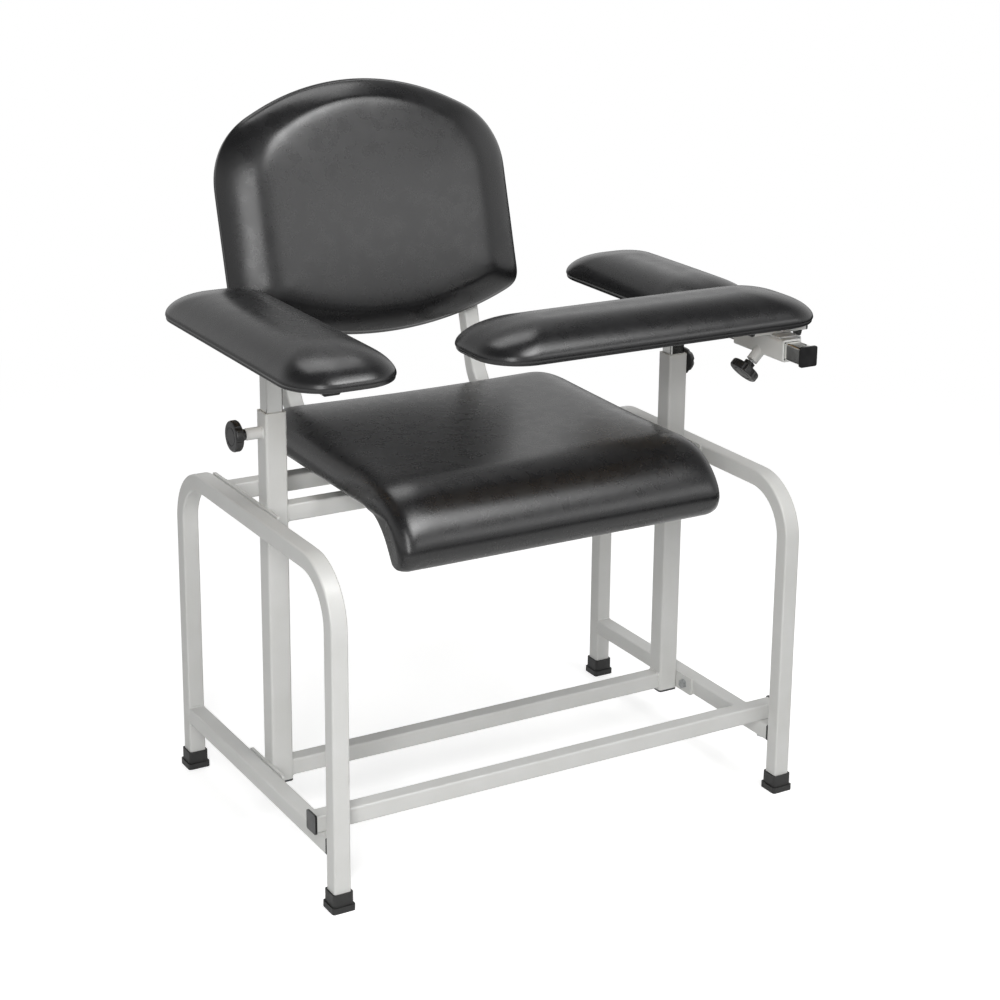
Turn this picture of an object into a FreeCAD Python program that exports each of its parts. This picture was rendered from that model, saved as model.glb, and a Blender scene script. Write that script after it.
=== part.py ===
"""A phlebotomy chair with a telescoping arm on each side and a cross pad that flips up.

Millimetres, +Z up, the front of the chair toward -Y. The origin is on the floor, under the middle of the
chair's overall box.
"""

import FreeCAD
import Part

import math
import os

import Sketcher
from FreeCAD import Placement, Rotation, Vector

# Driving sizes

SIZES = {
    # where the steel frame's middle lies behind the origin
    "frame_middle": -61,
    # tubes
    "tube_side": 25,
    "tube_wall": 1.5,
    "tube_corner": 3,
    "bend_inside": 65,
    # side frames and lower rails
    "frame_width": 755,
    "frame_depth": 530,
    "rail_top": 488,
    "lower_rail_under": 75,
    "rail_plug_length": 2,
    # rubber feet
    "foot_side": 30,
    "foot_flange": 34,
    "foot_flange_height": 9,
    "foot_height": 27,
    "foot_floor": 6,
    "foot_corner": 4,
    "foot_fit": 0.15,
    # posts
    "post_side": 32,
    "post_wall": 3,
    "post_corner": 4,
    "post_foot": 73.4,
    "post_top": 624,
    "post_setback": 12,
    "post_plug_flange": 2.9,
    # plates between posts and rails
    "plate_thick": 4,
    "plate_corner": 3,
    "plate_height": 28,
    "upper_plate_front": 45,
    "upper_plate_rear": 181,
    "upper_plate_over": 2,
    "lower_plate_front": 44,
    "lower_plate_rear": 68,
    # crossbars and footrest
    "lower_bar_under": 76.7,
    "rear_bar_setback": 132,
    "footrest_forward": 209.5,
    "footrest_overhang": 7.5,
    # plastic plugs and caps
    "plug_flange": 3,
    "plug_insert": 12,
    "plug_fit": 0.15,
    "plug_corner": 1,
    "cap_overhang": 1.5,
    # hexagon bolts
    "bolt_size": 8,
    "bolt_head_across": 13,
    "bolt_head_height": 5.3,
    "bolt_play": 0.3,
    "plate_bolt_length": 12,
    "plate_bolt_spread": 36,
    "rear_bolt_spread": 34,
    "bearer_bolt_length": 38,
    "footrest_bolt_length": 40,
    # wood screws
    "screw_size": 5,
    "screw_head": 9.5,
    "screw_head_height": 2.8,
    "screw_bite": 8,
    "screw_play": 0.2,
    # seat bearers that rise into the back uprights
    "bearer_spacing": 325,
    "bearer_front": 150,
    "bend_corner": 313.4,
    "upright_length": 384,
    "back_lean": 16,
    # seat
    "seat_side_room": 54,
    "seat_front": 242,
    "seat_rear": 245,
    "seat_thick": 49,
    "seat_dish": 2.5,
    "seat_edge": 18,
    "seat_rear_corner": 55,
    "seat_front_corner": 26,
    "seat_slope_start": 134,
    "seat_slope_drop": 7,
    "seat_nose_drop": 84,
    "seat_lip_drop": 122,
    "seat_lip_back": 26,
    "seat_lip_inside": 192,
    "seat_lip_inside_drop": 98,
    "seat_board_side_inset": 12.5,
    "seat_board_front": 180,
    "seat_board_inset": 10,
    "seat_screw_spread": 320,
    "seat_screw_middle": 50,
    # backrest
    "board_thick": 12,
    "back_datum_up": 196.4,
    "back_side_room": 64.5,
    "back_top": 326,
    "back_shoulder": 281,
    "back_shoulder_inset": 74,
    "back_side_top": 172,
    "back_foot_inset": 14,
    "back_foot_up": 28,
    "back_foot_drop": 77,
    "back_thick": 53,
    "back_edge": 34,
    "back_board_inset": 8,
    "back_screw_low": 30,
    "back_screw_under_end": 37.6,
    # arms
    "arm_bar_under": 684.5,
    "left_arm_raise": 10,
    "arm_tube_foot": 465,
    "arm_bar_rear": 225,
    "left_bar_front": 178,
    "right_bar_front": 318,
    "arm_cap_flange": 4,
    "arm_cap_side": 29,
    # pads
    "pad_width": 165,
    "pad_thick": 46,
    "pad_corner": 62,
    "pad_edge": 28,
    "pad_crown_inset": 26,
    "pad_tuck": 5,
    "pad_board_inset": 7,
    "arm_pad_rear": 243.5,
    "left_pad_length": 500,
    "right_pad_length": 370,
    "cross_pad_length": 542,
    "arm_screw_spread": 180,
    # clamp screws
    "knob_height": 595.4,
    "boss_across": 17,
    "boss_length": 24,
    "boss_bevel": 1.5,
    "stud_size": 8,
    "stud_play": 0.3,
    "stud_show": 1.2,
    "slide_stud_show": 3.7,
    "corner_stud_depth": 5.8,
    "knob_across": 44,
    "knob_thick": 11.5,
    "knob_edge": 3,
    "knob_hub": 16,
    "knob_hub_length": 8.3,
    "knob_lobes": 8,
    "knob_scallop": 9,
    "knob_scallop_bite": 1.6,
    "knob_groove_across": 26,
    "knob_groove_size": 2,
    "tip_gap": 0.3,
    # sleeve that slides on the right bar
    "sleeve_rear": 165,
    "sleeve_length": 117,
    "sleeve_boss_show": 13.3,
    # flip hinge
    "leaf_thick": 2,
    "leaf_corner": 0.5,
    "knuckle_across": 8,
    "knuckle_gap": 0.3,
    "hinge_stand_off": 0.3,
    "hinge_under_top": 3,
    "hinge_forward": 223,
    "hinge_length": 96,
    "knuckle_count": 5,
    "fixed_leaf_foot": 684,
    "moving_leaf_reach": 30,
    "pin_across": 4,
    "pin_play": 0.2,
    # bracket and bumper
    "bracket_height": 16,
    "bracket_inward": 44.5,
    "bracket_outward": 45.5,
    "bracket_forward": 241.5,
    "bracket_spread": 39,
    "pad_plate_thick": 3,
    "pad_plate_inward": 92.5,
    "pad_plate_front": 257,
    "pad_plate_width": 70,
    "pad_screw_margin": 12,
    "pad_screw_rows": 46,
    "pad_screw_pitch": 40,
    "bumper_outward": 35.5,
    "bumper_forward": 247,
    "bumper_top_across": 14,
    "bumper_tip_across": 11,
    # cross pad
    "cross_pad_outward": 52.5,
    "cross_pad_forward": 222,
    # overrun of cutting tools
    "overrun": 5,
}


class Size:
    """A number that keeps the sheet expression it was worked out from."""

    def __init__(self, text, value):
        self.text = text
        self.value = value

    def combine(self, other, sign, value):
        """Join two sizes, or a size and a plain count, in one expression."""
        return Size(f"({self.text} {sign} {as_size(other).text})", value)

    def __add__(self, other):
        return self.combine(other, "+", self.value + as_size(other).value)

    def __sub__(self, other):
        return self.combine(other, "-", self.value - as_size(other).value)

    def __mul__(self, other):
        return self.combine(other, "*", self.value * as_size(other).value)

    def __truediv__(self, other):
        return self.combine(other, "/", self.value / as_size(other).value)

    def __neg__(self):
        return Size(f"(0 - {self.text})", -self.value)


def as_size(number):
    """Give a plain number the same form as a named size."""
    if isinstance(number, Size):
        return number
    return Size(repr(number), number)


def sine(angle):
    """The sine of a named angle in degrees."""
    return Size(f"sin({angle.text} * 1 deg)", math.sin(math.radians(angle.value)))


def cosine(angle):
    """The cosine of a named angle in degrees."""
    return Size(f"cos({angle.text} * 1 deg)", math.cos(math.radians(angle.value)))


class Sheet:
    """The named sizes, each read from its cell of the document's spreadsheet."""

    def __init__(self, cells):
        for name in SIZES:
            setattr(self, name, Size(f"Sizes.{name}", float(cells.get(name))))


document = FreeCAD.newDocument("PhlebotomyChair")
cells = document.addObject("Spreadsheet::Sheet", "Sizes")
for row, (name, number) in enumerate(SIZES.items(), start=1):
    cells.set(f"A{row}", name)
    cells.set(f"B{row}", str(number))
    cells.setAlias(f"B{row}", name)
document.recompute()
s = Sheet(cells)
ZERO = as_size(0)
parts = []

DOWN = Vector(0, 0, -1)
UP = Vector(0, 0, 1)
LEFT = Vector(-1, 0, 0)
RIGHT = Vector(1, 0, 0)
FRONT = Vector(0, -1, 0)
REAR = Vector(0, 1, 0)
ROLES = {"x": "YZ_Plane", "y": "XZ_Plane", "z": "XY_Plane"}


# Sketch outlines


def measure(sketch, kind, references, size):
    """Add one dimension to a sketch and bind it to its expression."""
    index = sketch.addConstraint(Sketcher.Constraint(kind, *references, size.value))
    sketch.setExpression(f"Constraints[{index}]", size.text)


def fix_point(sketch, edge, end, across, up):
    """Hold one end of a sketch edge at a place measured from the sketch's origin."""
    measure(sketch, "DistanceX", (-1, 1, edge, end), across)
    measure(sketch, "DistanceY", (-1, 1, edge, end), up)


def flow(sketch, first, first_end, second, second_end):
    """Join two sketch edges smoothly."""
    sketch.addConstraint(Sketcher.Constraint("Tangent", first, first_end, second, second_end))


def quarter_arc(sketch, across, up, radius, start):
    """Add a quarter circle that starts at an angle in degrees."""
    circle = Part.Circle(Vector(across, up, 0), UP, radius)
    return sketch.addGeometry(Part.ArcOfCircle(circle, math.radians(start), math.radians(start + 90)))


def line(sketch, first, second):
    """Add a straight edge between two points of the sketch."""
    return sketch.addGeometry(Part.LineSegment(Vector(*first, 0), Vector(*second, 0)))


def rectangle(width, height, corner, across=ZERO, up=ZERO):
    """An outline with rounded corners, centred on a point of the sketch."""

    def draw(sketch):
        left = (across - width / 2).value
        right = (across + width / 2).value
        low = (up - height / 2).value
        high = (up + height / 2).value
        bend = corner.value
        edges = [
            line(sketch, (left + bend, low), (right - bend, low)),
            quarter_arc(sketch, right - bend, low + bend, bend, -90),
            line(sketch, (right, low + bend), (right, high - bend)),
            quarter_arc(sketch, right - bend, high - bend, bend, 0),
            line(sketch, (right - bend, high), (left + bend, high)),
            quarter_arc(sketch, left + bend, high - bend, bend, 90),
            line(sketch, (left, high - bend), (left, low + bend)),
            quarter_arc(sketch, left + bend, low + bend, bend, 180),
        ]
        for place, edge in enumerate(edges):
            flow(sketch, edge, 2, edges[(place + 1) % len(edges)], 1)
        bottom, arc, side, _, top, _, other, _ = edges
        for edge in (bottom, top):
            sketch.addConstraint(Sketcher.Constraint("Horizontal", edge))
        for edge in (side, other):
            sketch.addConstraint(Sketcher.Constraint("Vertical", edge))
        for edge in edges[3::2]:
            sketch.addConstraint(Sketcher.Constraint("Equal", arc, edge))
        measure(sketch, "Radius", (arc,), corner)
        measure(sketch, "DistanceX", (other, 1, side, 1), width)
        measure(sketch, "DistanceY", (bottom, 1, top, 1), height)
        measure(sketch, "DistanceX", (-1, 1, other, 1), across - width / 2)
        measure(sketch, "DistanceY", (-1, 1, bottom, 1), up - height / 2)

    return draw


def hole(size, across=ZERO, up=ZERO):
    """A round outline centred on a point of the sketch."""

    def draw(sketch):
        circle = Part.Circle(Vector(across.value, up.value, 0), UP, size.value / 2)
        edge = sketch.addGeometry(circle)
        measure(sketch, "Diameter", (edge,), size)
        fix_point(sketch, edge, 3, across, up)

    return draw


def new_sketch(body, axis, outlines, name="Outline"):
    """A sketch on the body's own plane that faces along an axis."""
    sketch = body.newObject("Sketcher::SketchObject", name)
    plane = next(item for item in body.Origin.OriginFeatures if item.Role == ROLES[axis])
    sketch.AttachmentSupport = (plane, [""])
    sketch.MapMode = "FlatFace"
    for outline in outlines:
        outline(sketch)
    return sketch


# Solid pieces


def keep(piece, label=None):
    """Name a finished piece and list it for export."""
    if label:
        piece.Label = label
    parts.append(piece)
    return piece


def put(piece, x, y, z, rotation=None):
    """Bind a piece's place to its expressions, turned first where it is not upright."""
    if rotation:
        piece.Placement = Placement(Vector(), rotation)
    for letter, size in zip("xyz", (x, y, z)):
        piece.setExpression(f"Placement.Base.{letter}", size.text)
    return piece


def prism(name, axis, length, outlines, x, y, z):
    """A straight piece of constant outline, centred on a point."""
    body = document.addObject("PartDesign::Body", name)
    sketch = new_sketch(body, axis, outlines)
    pad = body.newObject("PartDesign::Pad", "Pad")
    pad.Profile = sketch
    pad.SideType = "Symmetric"
    pad.setExpression("Length", length.text)
    return put(body, x, y, z)


def square_tube(name, axis, side, wall, corner, length, x, y, z):
    """A hollow square tube centred on a point."""
    bore = side - wall * 2
    outlines = [rectangle(side, side, corner), rectangle(bore, bore, corner - wall)]
    return prism(name, axis, length, outlines, x, y, z)


def bent_tube(name, axis, path, across, up):
    """A square tube that follows a sketched path, starting square to one plane of its body."""
    body = document.addObject("PartDesign::Body", name)
    spine = new_sketch(body, "x", [path], "Path")
    bore = s.tube_side - s.tube_wall * 2
    outer = rectangle(s.tube_side, s.tube_side, s.tube_corner, across, up)
    inner = rectangle(bore, bore, s.tube_corner - s.tube_wall, across, up)
    for kind, outline in (("AdditivePipe", outer), ("SubtractivePipe", inner)):
        pipe = body.newObject(f"PartDesign::{kind}", kind)
        pipe.Profile = new_sketch(body, axis, [outline], f"{kind}Outline")
        pipe.Spine = (spine, [f"Edge{number + 1}" for number in range(spine.GeometryCount)])
        document.recompute()
    return body


def rod(name, across, length, direction, x, y, z):
    """A round bar that starts at a point and runs in a direction."""
    piece = document.addObject("Part::Cylinder", name)
    piece.setExpression("Radius", (across / 2).text)
    piece.setExpression("Height", length.text)
    return put(piece, x, y, z, Rotation(UP, direction))


def hexagon(name, across, length, direction, x, y, z):
    """A six-sided bar that starts at a point and runs in a direction."""
    piece = document.addObject("Part::Prism", name)
    piece.Polygon = 6
    piece.setExpression("Circumradius", (across * HEXAGON_CORNER_SHARE).text)
    piece.setExpression("Height", length.text)
    return put(piece, x, y, z, Rotation(UP, direction))


def fuse(name, pieces):
    """One solid from several that touch."""
    piece = document.addObject("Part::MultiFuse", name)
    piece.Shapes = pieces
    return piece


def group(name, pieces):
    """Several separate solids in one piece of the list."""
    piece = document.addObject("Part::Compound", name)
    piece.Links = pieces
    return piece


def cut(name, base, tools):
    """A solid with the space of other solids taken out."""
    piece = document.addObject("Part::Cut", name)
    piece.Base = base
    piece.Tool = tools[0] if len(tools) == 1 else group(f"{name}_tools", tools)
    return piece


def opposite(direction):
    """The other way along the same line."""
    return direction * -1


def bolt(name, head, across, head_height, size, length, direction, x, y, z):
    """A bolt or screw whose head lies on a point, with its shank running in a direction."""
    back = opposite(direction)
    cap = head(f"{name}_head", across, head_height, back, x, y, z)
    shank = rod(f"{name}_shank", size, length, direction, x, y, z)
    return fuse(name, [cap, shank])


def hex_bolt(name, length, direction, x, y, z):
    """A hexagon bolt whose head lies on a point."""
    sizes = (s.bolt_head_across, s.bolt_head_height, s.bolt_size)
    return bolt(name, hexagon, *sizes, length, direction, x, y, z)


def wood_screw(name, length, direction, x, y, z):
    """A round-headed wood screw whose head lies on a point."""
    sizes = (s.screw_head, s.screw_head_height, s.screw_size)
    return bolt(name, rod, *sizes, length, direction, x, y, z)


def plug(name, axis, outward, sides, flange, bores, corner, x, y, z):
    """A plastic plug: a flange on a tube's end face and an insert inside the tube."""
    places = {"x": x, "y": y, "z": z}
    outer = dict(places)
    outer[axis] = places[axis] + flange * outward / 2
    inner = dict(places)
    inner[axis] = places[axis] - s.plug_insert * outward / 2
    head = prism(f"{name}_flange", axis, flange, [rectangle(*sides, corner)], *outer.values())
    fit = s.plug_fit * 2
    insert_outline = rectangle(bores[0] - fit, bores[1] - fit, s.plug_corner)
    insert = prism(f"{name}_insert", axis, s.plug_insert, [insert_outline], *inner.values())
    return fuse(name, [head, insert])


HEXAGON_CORNER_SHARE = 1 / math.sqrt(3)
DIAGONAL_SHARE = math.sqrt(1 / 2)
HALF = 1 / 2
SIDES = (("left", -1), ("right", 1))

# Places that several pieces share

middle = s.frame_middle
bore_side = s.tube_side - s.tube_wall * 2
rail_inner = s.frame_width / 2 - s.tube_side
leg_x = s.frame_width / 2 - s.tube_side / 2
leg_y = s.frame_depth / 2 - s.tube_side / 2
plate_inner = rail_inner - s.plate_thick
post_x = plate_inner - s.post_side / 2
post_inner = plate_inner - s.post_side
post_y = middle + s.post_setback
post_bore = s.post_side - s.post_wall * 2
rail_z = s.rail_top - s.tube_side / 2
lower_rail_z = s.lower_rail_under + s.tube_side / 2
lower_rail_top = s.lower_rail_under + s.tube_side
rear_bar_y = middle + s.rear_bar_setback
bearer_x = s.bearer_spacing / 2
seat_width = (post_inner - s.seat_side_room) * 2
back_half_width = post_inner - s.back_side_room
bend_radius = s.bend_inside + s.tube_side / 2
bearer_z = s.rail_top + s.tube_side / 2
bearer_top = s.rail_top + s.tube_side
bolt_hole = s.bolt_size + s.bolt_play * 2
screw_hole = s.screw_size + s.screw_play * 2

# Side frames, lower rails and feet


def frame_path(sketch):
    """Up one leg, over the top rail and down the other leg."""
    reach = leg_y.value
    top = (rail_z - s.foot_floor).value
    bend = bend_radius.value
    front_leg = line(sketch, (-reach, 0), (-reach, top - bend))
    front_bend = quarter_arc(sketch, bend - reach, top - bend, bend, 90)
    rail = line(sketch, (bend - reach, top), (reach - bend, top))
    rear_bend = quarter_arc(sketch, reach - bend, top - bend, bend, 0)
    rear_leg = line(sketch, (reach, top - bend), (reach, 0))
    flow(sketch, front_leg, 2, front_bend, 2)
    flow(sketch, front_bend, 1, rail, 1)
    flow(sketch, rail, 2, rear_bend, 2)
    flow(sketch, rear_bend, 1, rear_leg, 1)
    for leg in (front_leg, rear_leg):
        sketch.addConstraint(Sketcher.Constraint("Vertical", leg))
    sketch.addConstraint(Sketcher.Constraint("Horizontal", rail))
    measure(sketch, "Radius", (front_bend,), bend_radius)
    measure(sketch, "Radius", (rear_bend,), bend_radius)
    fix_point(sketch, front_leg, 1, -leg_y, ZERO)
    fix_point(sketch, rear_leg, 2, leg_y, ZERO)
    measure(sketch, "DistanceY", (-1, 1, rail, 1), rail_z - s.foot_floor)


upper_bolt_places = (
    post_y - s.plate_bolt_spread,
    post_y + s.plate_bolt_spread,
    rear_bar_y - s.rear_bolt_spread,
    rear_bar_y + s.rear_bolt_spread,
)
lower_bolt_places = upper_bolt_places[:2]
plate_front = {"upper": s.upper_plate_front, "lower": s.lower_plate_front}
plate_rear = {"upper": s.upper_plate_rear, "lower": s.lower_plate_rear}
plate_z = {"upper": s.rail_top + s.upper_plate_over - s.plate_height / 2, "lower": lower_rail_z}
bolt_z = {"upper": rail_z, "lower": lower_rail_z}
bolt_places = {"upper": upper_bolt_places, "lower": lower_bolt_places}
frame_bolts = []
rail_plugs = []
feet = []

for side, sign in SIDES:
    outward = RIGHT * sign
    holes = {}
    for level in ("upper", "lower"):
        front = middle - plate_front[level]
        rear = middle + plate_rear[level]
        centre = (front + rear) / 2
        outlines = [rectangle(rear - front, s.plate_height, s.plate_corner)]
        holes[level] = []
        for count, bolt_y in enumerate(bolt_places[level], start=1):
            name = f"{side}_{level}_bolt{count}"
            start = plate_inner * sign
            outlines.append(hole(bolt_hole, bolt_y - centre, bolt_z[level] - plate_z[level]))
            place = (start, bolt_y, bolt_z[level])
            frame_bolts.append(hex_bolt(name, s.plate_bolt_length, outward, *place))
            length = s.plate_thick + s.tube_side / 2
            holes[level].append(rod(f"{name}_hole", bolt_hole, length, outward, *place))
        x = (plate_inner + s.plate_thick / 2) * sign
        keep(prism(f"{side}_{level}_plate", "x", s.plate_thick, outlines, x, centre, plate_z[level]))

    frame = bent_tube(f"{side}_frame_tube", "z", frame_path, ZERO, -leg_y)
    put(frame, leg_x * sign, middle, s.foot_floor)
    keep(cut(f"{side}_side_frame", frame, holes["upper"]))

    rail_length = s.frame_depth - s.tube_side * 2 - s.rail_plug_length
    rail_y = middle + s.rail_plug_length / 2
    sizes = (s.tube_side, s.tube_wall, s.tube_corner)
    rail = square_tube(f"{side}_rail_tube", "y", *sizes, rail_length, leg_x * sign, rail_y, lower_rail_z)
    footrest_y = middle - s.footrest_forward
    below = s.lower_rail_under - s.overrun
    reach = s.tube_side + s.overrun * 2
    footrest_hole = rod(f"{side}_rail_hole", bolt_hole, reach, UP, leg_x * sign, footrest_y, below)
    keep(cut(f"{side}_lower_rail", rail, [*holes["lower"], footrest_hole]))
    front_end = middle - leg_y + s.tube_side / 2 + s.rail_plug_length
    sides = (s.tube_side, s.tube_side)
    bores = (bore_side, bore_side)
    plug_place = (leg_x * sign, front_end, lower_rail_z)
    rail_plugs.append(
        plug(f"{side}_rail_plug", "y", -1, sides, s.rail_plug_length, bores, s.tube_corner, *plug_place)
    )

    for end, way in (("front", -1), ("rear", 1)):
        x = leg_x * sign
        y = middle + leg_y * way
        name = f"{side}_{end}_foot"
        flange_outline = rectangle(s.foot_flange, s.foot_flange, s.foot_corner)
        cup_outline = rectangle(s.foot_side, s.foot_side, s.foot_corner)
        bore = s.tube_side + s.foot_fit * 2
        bore_height = s.foot_height - s.foot_floor + s.overrun
        bore_z = s.foot_floor + bore_height / 2
        flange_height = s.foot_flange_height
        flange = prism(f"{name}_flange", "z", flange_height, [flange_outline], x, y, flange_height / 2)
        cup = prism(f"{name}_cup", "z", s.foot_height, [cup_outline], x, y, s.foot_height / 2)
        well = prism(f"{name}_well", "z", bore_height, [rectangle(bore, bore, s.tube_corner)], x, y, bore_z)
        feet.append(cut(name, fuse(f"{name}_body", [flange, cup]), [well]))

keep(group("frame_bolts", frame_bolts))
keep(group("rail_end_plugs", rail_plugs))
keep(group("rubber_feet", feet))

# Posts with their clamp bosses: the left one on the outer face, the right one on the rear outer corner

OUTWARD_SHARES = {"left": (-1, 0, 0), "right": (DIAGONAL_SHARE, DIAGONAL_SHARE, 0)}
boss_depth = s.boss_across / 2
stud_hole = s.stud_size + s.stud_play * 2


def along(place, shares, reach):
    """A place moved by a reach along a direction, which is given as its shares on X, Y and Z."""
    return tuple(start + reach * share if share else start for start, share in zip(place, shares))


def clamp_edge(side, sign):
    """Where a clamp's axis leaves its post: the middle of the outer face, or the rear outer corner."""
    y = post_y + s.post_side / 2 if OUTWARD_SHARES[side][1] else post_y
    return plate_inner * sign, y, s.knob_height


post_plugs = []
post_middle = (s.post_foot + s.post_top) / 2
for side, sign in SIDES:
    x = post_x * sign
    shares = OUTWARD_SHARES[side]
    outward = Vector(*shares)
    edge = clamp_edge(side, sign)
    post_length = s.post_top - s.post_foot
    outer_outline = rectangle(s.post_side, s.post_side, s.post_corner)
    outer = prism(f"{side}_post_outer", "z", post_length, [outer_outline], x, post_y, post_middle)
    straight = s.boss_length - s.boss_bevel
    boss_start = along(edge, shares, boss_depth * -1)
    boss = rod(f"{side}_boss", s.boss_across, boss_depth + straight, outward, *boss_start)
    nose = document.addObject("Part::Cone", f"{side}_boss_nose")
    nose.setExpression("Radius1", (s.boss_across / 2).text)
    nose.setExpression("Radius2", (s.boss_across / 2 - s.boss_bevel).text)
    nose.setExpression("Height", s.boss_bevel.text)
    put(nose, *along(edge, shares, straight), Rotation(UP, outward))
    bore_outline = rectangle(post_bore, post_bore, s.post_corner - s.post_wall)
    bore_length = post_length + s.overrun * 2
    bore = prism(f"{side}_post_bore", "z", bore_length, [bore_outline], x, post_y, post_middle)
    passage_length = s.post_side + s.boss_length
    passage = rod(f"{side}_boss_hole", stud_hole, passage_length, outward, x, post_y, s.knob_height)
    keep(cut(f"{side}_post", fuse(f"{side}_post_body", [outer, boss, nose]), [bore, passage]))
    sides = (s.post_side, s.post_side)
    bores = (post_bore, post_bore)
    plug_place = (x, post_y, s.post_foot)
    post_plugs.append(
        plug(f"{side}_post_plug", "z", -1, sides, s.post_plug_flange, bores, s.post_corner, *plug_place)
    )
keep(group("post_bottom_plugs", post_plugs))

# Crossbars and footrest


def drill(name, holes):
    """Upright bolt holes, each through one tube."""
    length = s.tube_side + s.overrun * 2
    return [
        rod(f"{name}_hole{count}", size, length, UP, x, y, under - s.overrun)
        for count, (size, x, y, under) in enumerate(holes, start=1)
    ]


tube_sizes = (s.tube_side, s.tube_wall, s.tube_corner)
lower_bar_z = s.lower_bar_under + s.tube_side / 2
keep(square_tube("lower_crossbar", "x", *tube_sizes, post_inner * 2, ZERO, post_y, lower_bar_z))

bar_under = s.rail_top - s.tube_side
crossbars = (("front", post_y, post_inner * 2), ("rear", rear_bar_y, plate_inner * 2))
bearer_bolts = []
for name, y, length in crossbars:
    bar = square_tube(f"{name}_bar_tube", "x", *tube_sizes, length, ZERO, y, rail_z)
    holes = [(bolt_hole, bearer_x * sign, y, bar_under) for _, sign in SIDES]
    keep(cut(f"{name}_seat_crossbar", bar, drill(f"{name}_bar", holes)))
    for side, sign in SIDES:
        place = (bearer_x * sign, y, bar_under)
        bearer_bolts.append(hex_bolt(f"{side}_{name}_bearer_bolt", s.bearer_bolt_length, UP, *place))
keep(group("bearer_bolts", bearer_bolts))

footrest_tube_length = s.frame_width + (s.footrest_overhang - s.plug_flange) * 2
footrest_z = lower_rail_top + s.tube_side / 2
footrest = square_tube("footrest_tube", "x", *tube_sizes, footrest_tube_length, ZERO, footrest_y, footrest_z)
footrest_bolts = []
footrest_caps = []
footrest_holes = []
cap_side = s.tube_side + s.cap_overhang * 2
for side, sign in SIDES:
    x = leg_x * sign
    start = lower_rail_top - s.overrun
    length = s.overrun + s.tube_side / 2
    footrest_holes.append(rod(f"{side}_footrest_hole", bolt_hole, length, UP, x, footrest_y, start))
    footrest_bolts.append(
        hex_bolt(f"{side}_footrest_bolt", s.footrest_bolt_length, UP, x, footrest_y, s.lower_rail_under)
    )
    place = (footrest_tube_length / 2 * sign, footrest_y, footrest_z)
    sides = (cap_side, cap_side)
    bores = (bore_side, bore_side)
    footrest_caps.append(
        plug(f"{side}_footrest_cap", "x", sign, sides, s.plug_flange, bores, s.tube_corner, *place)
    )
keep(cut("footrest_bar", footrest, footrest_holes))
keep(group("footrest_bolts", footrest_bolts))
keep(group("footrest_end_caps", footrest_caps))

# Bearers that rise into the back uprights

run = s.bearer_front + s.bend_corner
upright_end_y = run + s.upright_length * sine(s.back_lean)
upright_end_z = s.upright_length * cosine(s.back_lean)


def bearer_path(sketch):
    """Back along the seat, round the bend and up the leaning upright."""
    turn = 90 - s.back_lean.value
    reach = run.value - bend_radius.value * math.tan(math.radians(turn / 2))
    flat = line(sketch, (0, 0), (reach, 0))
    circle = Part.Circle(Vector(reach, bend_radius.value, 0), UP, bend_radius.value)
    arc = Part.ArcOfCircle(circle, math.radians(-90), math.radians(turn - 90))
    bend = sketch.addGeometry(arc)
    bend_end = arc.EndPoint
    upright = line(sketch, (bend_end.x, bend_end.y), (upright_end_y.value, upright_end_z.value))
    flow(sketch, flat, 2, bend, 1)
    flow(sketch, bend, 2, upright, 1)
    sketch.addConstraint(Sketcher.Constraint("Horizontal", flat))
    measure(sketch, "Radius", (bend,), bend_radius)
    fix_point(sketch, flat, 1, ZERO, ZERO)
    fix_point(sketch, upright, 2, upright_end_y, upright_end_z)
    index = sketch.addConstraint(Sketcher.Constraint("Angle", upright, math.radians(turn)))
    sketch.setExpression(f"Constraints[{index}]", f"(90 - {s.back_lean.text}) * 1 deg")


# The backrest's own frame: its origin on the uprights' front faces, its height along the lean

datum_along = s.back_datum_up
half_side = s.tube_side / 2
back_y = middle + s.bend_corner + datum_along * sine(s.back_lean) - half_side * cosine(s.back_lean)
back_z = bearer_z + datum_along * cosine(s.back_lean) + half_side * sine(s.back_lean)


def lean_back(piece):
    """Stand a piece of the backrest on the leaning uprights."""
    piece.Placement = Placement(Vector(), Rotation(RIGHT, -s.back_lean.value))
    piece.setExpression("Placement.Rotation.Angle", f"{s.back_lean.text} * -1 deg")
    return put(piece, ZERO, back_y, back_z)


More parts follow.
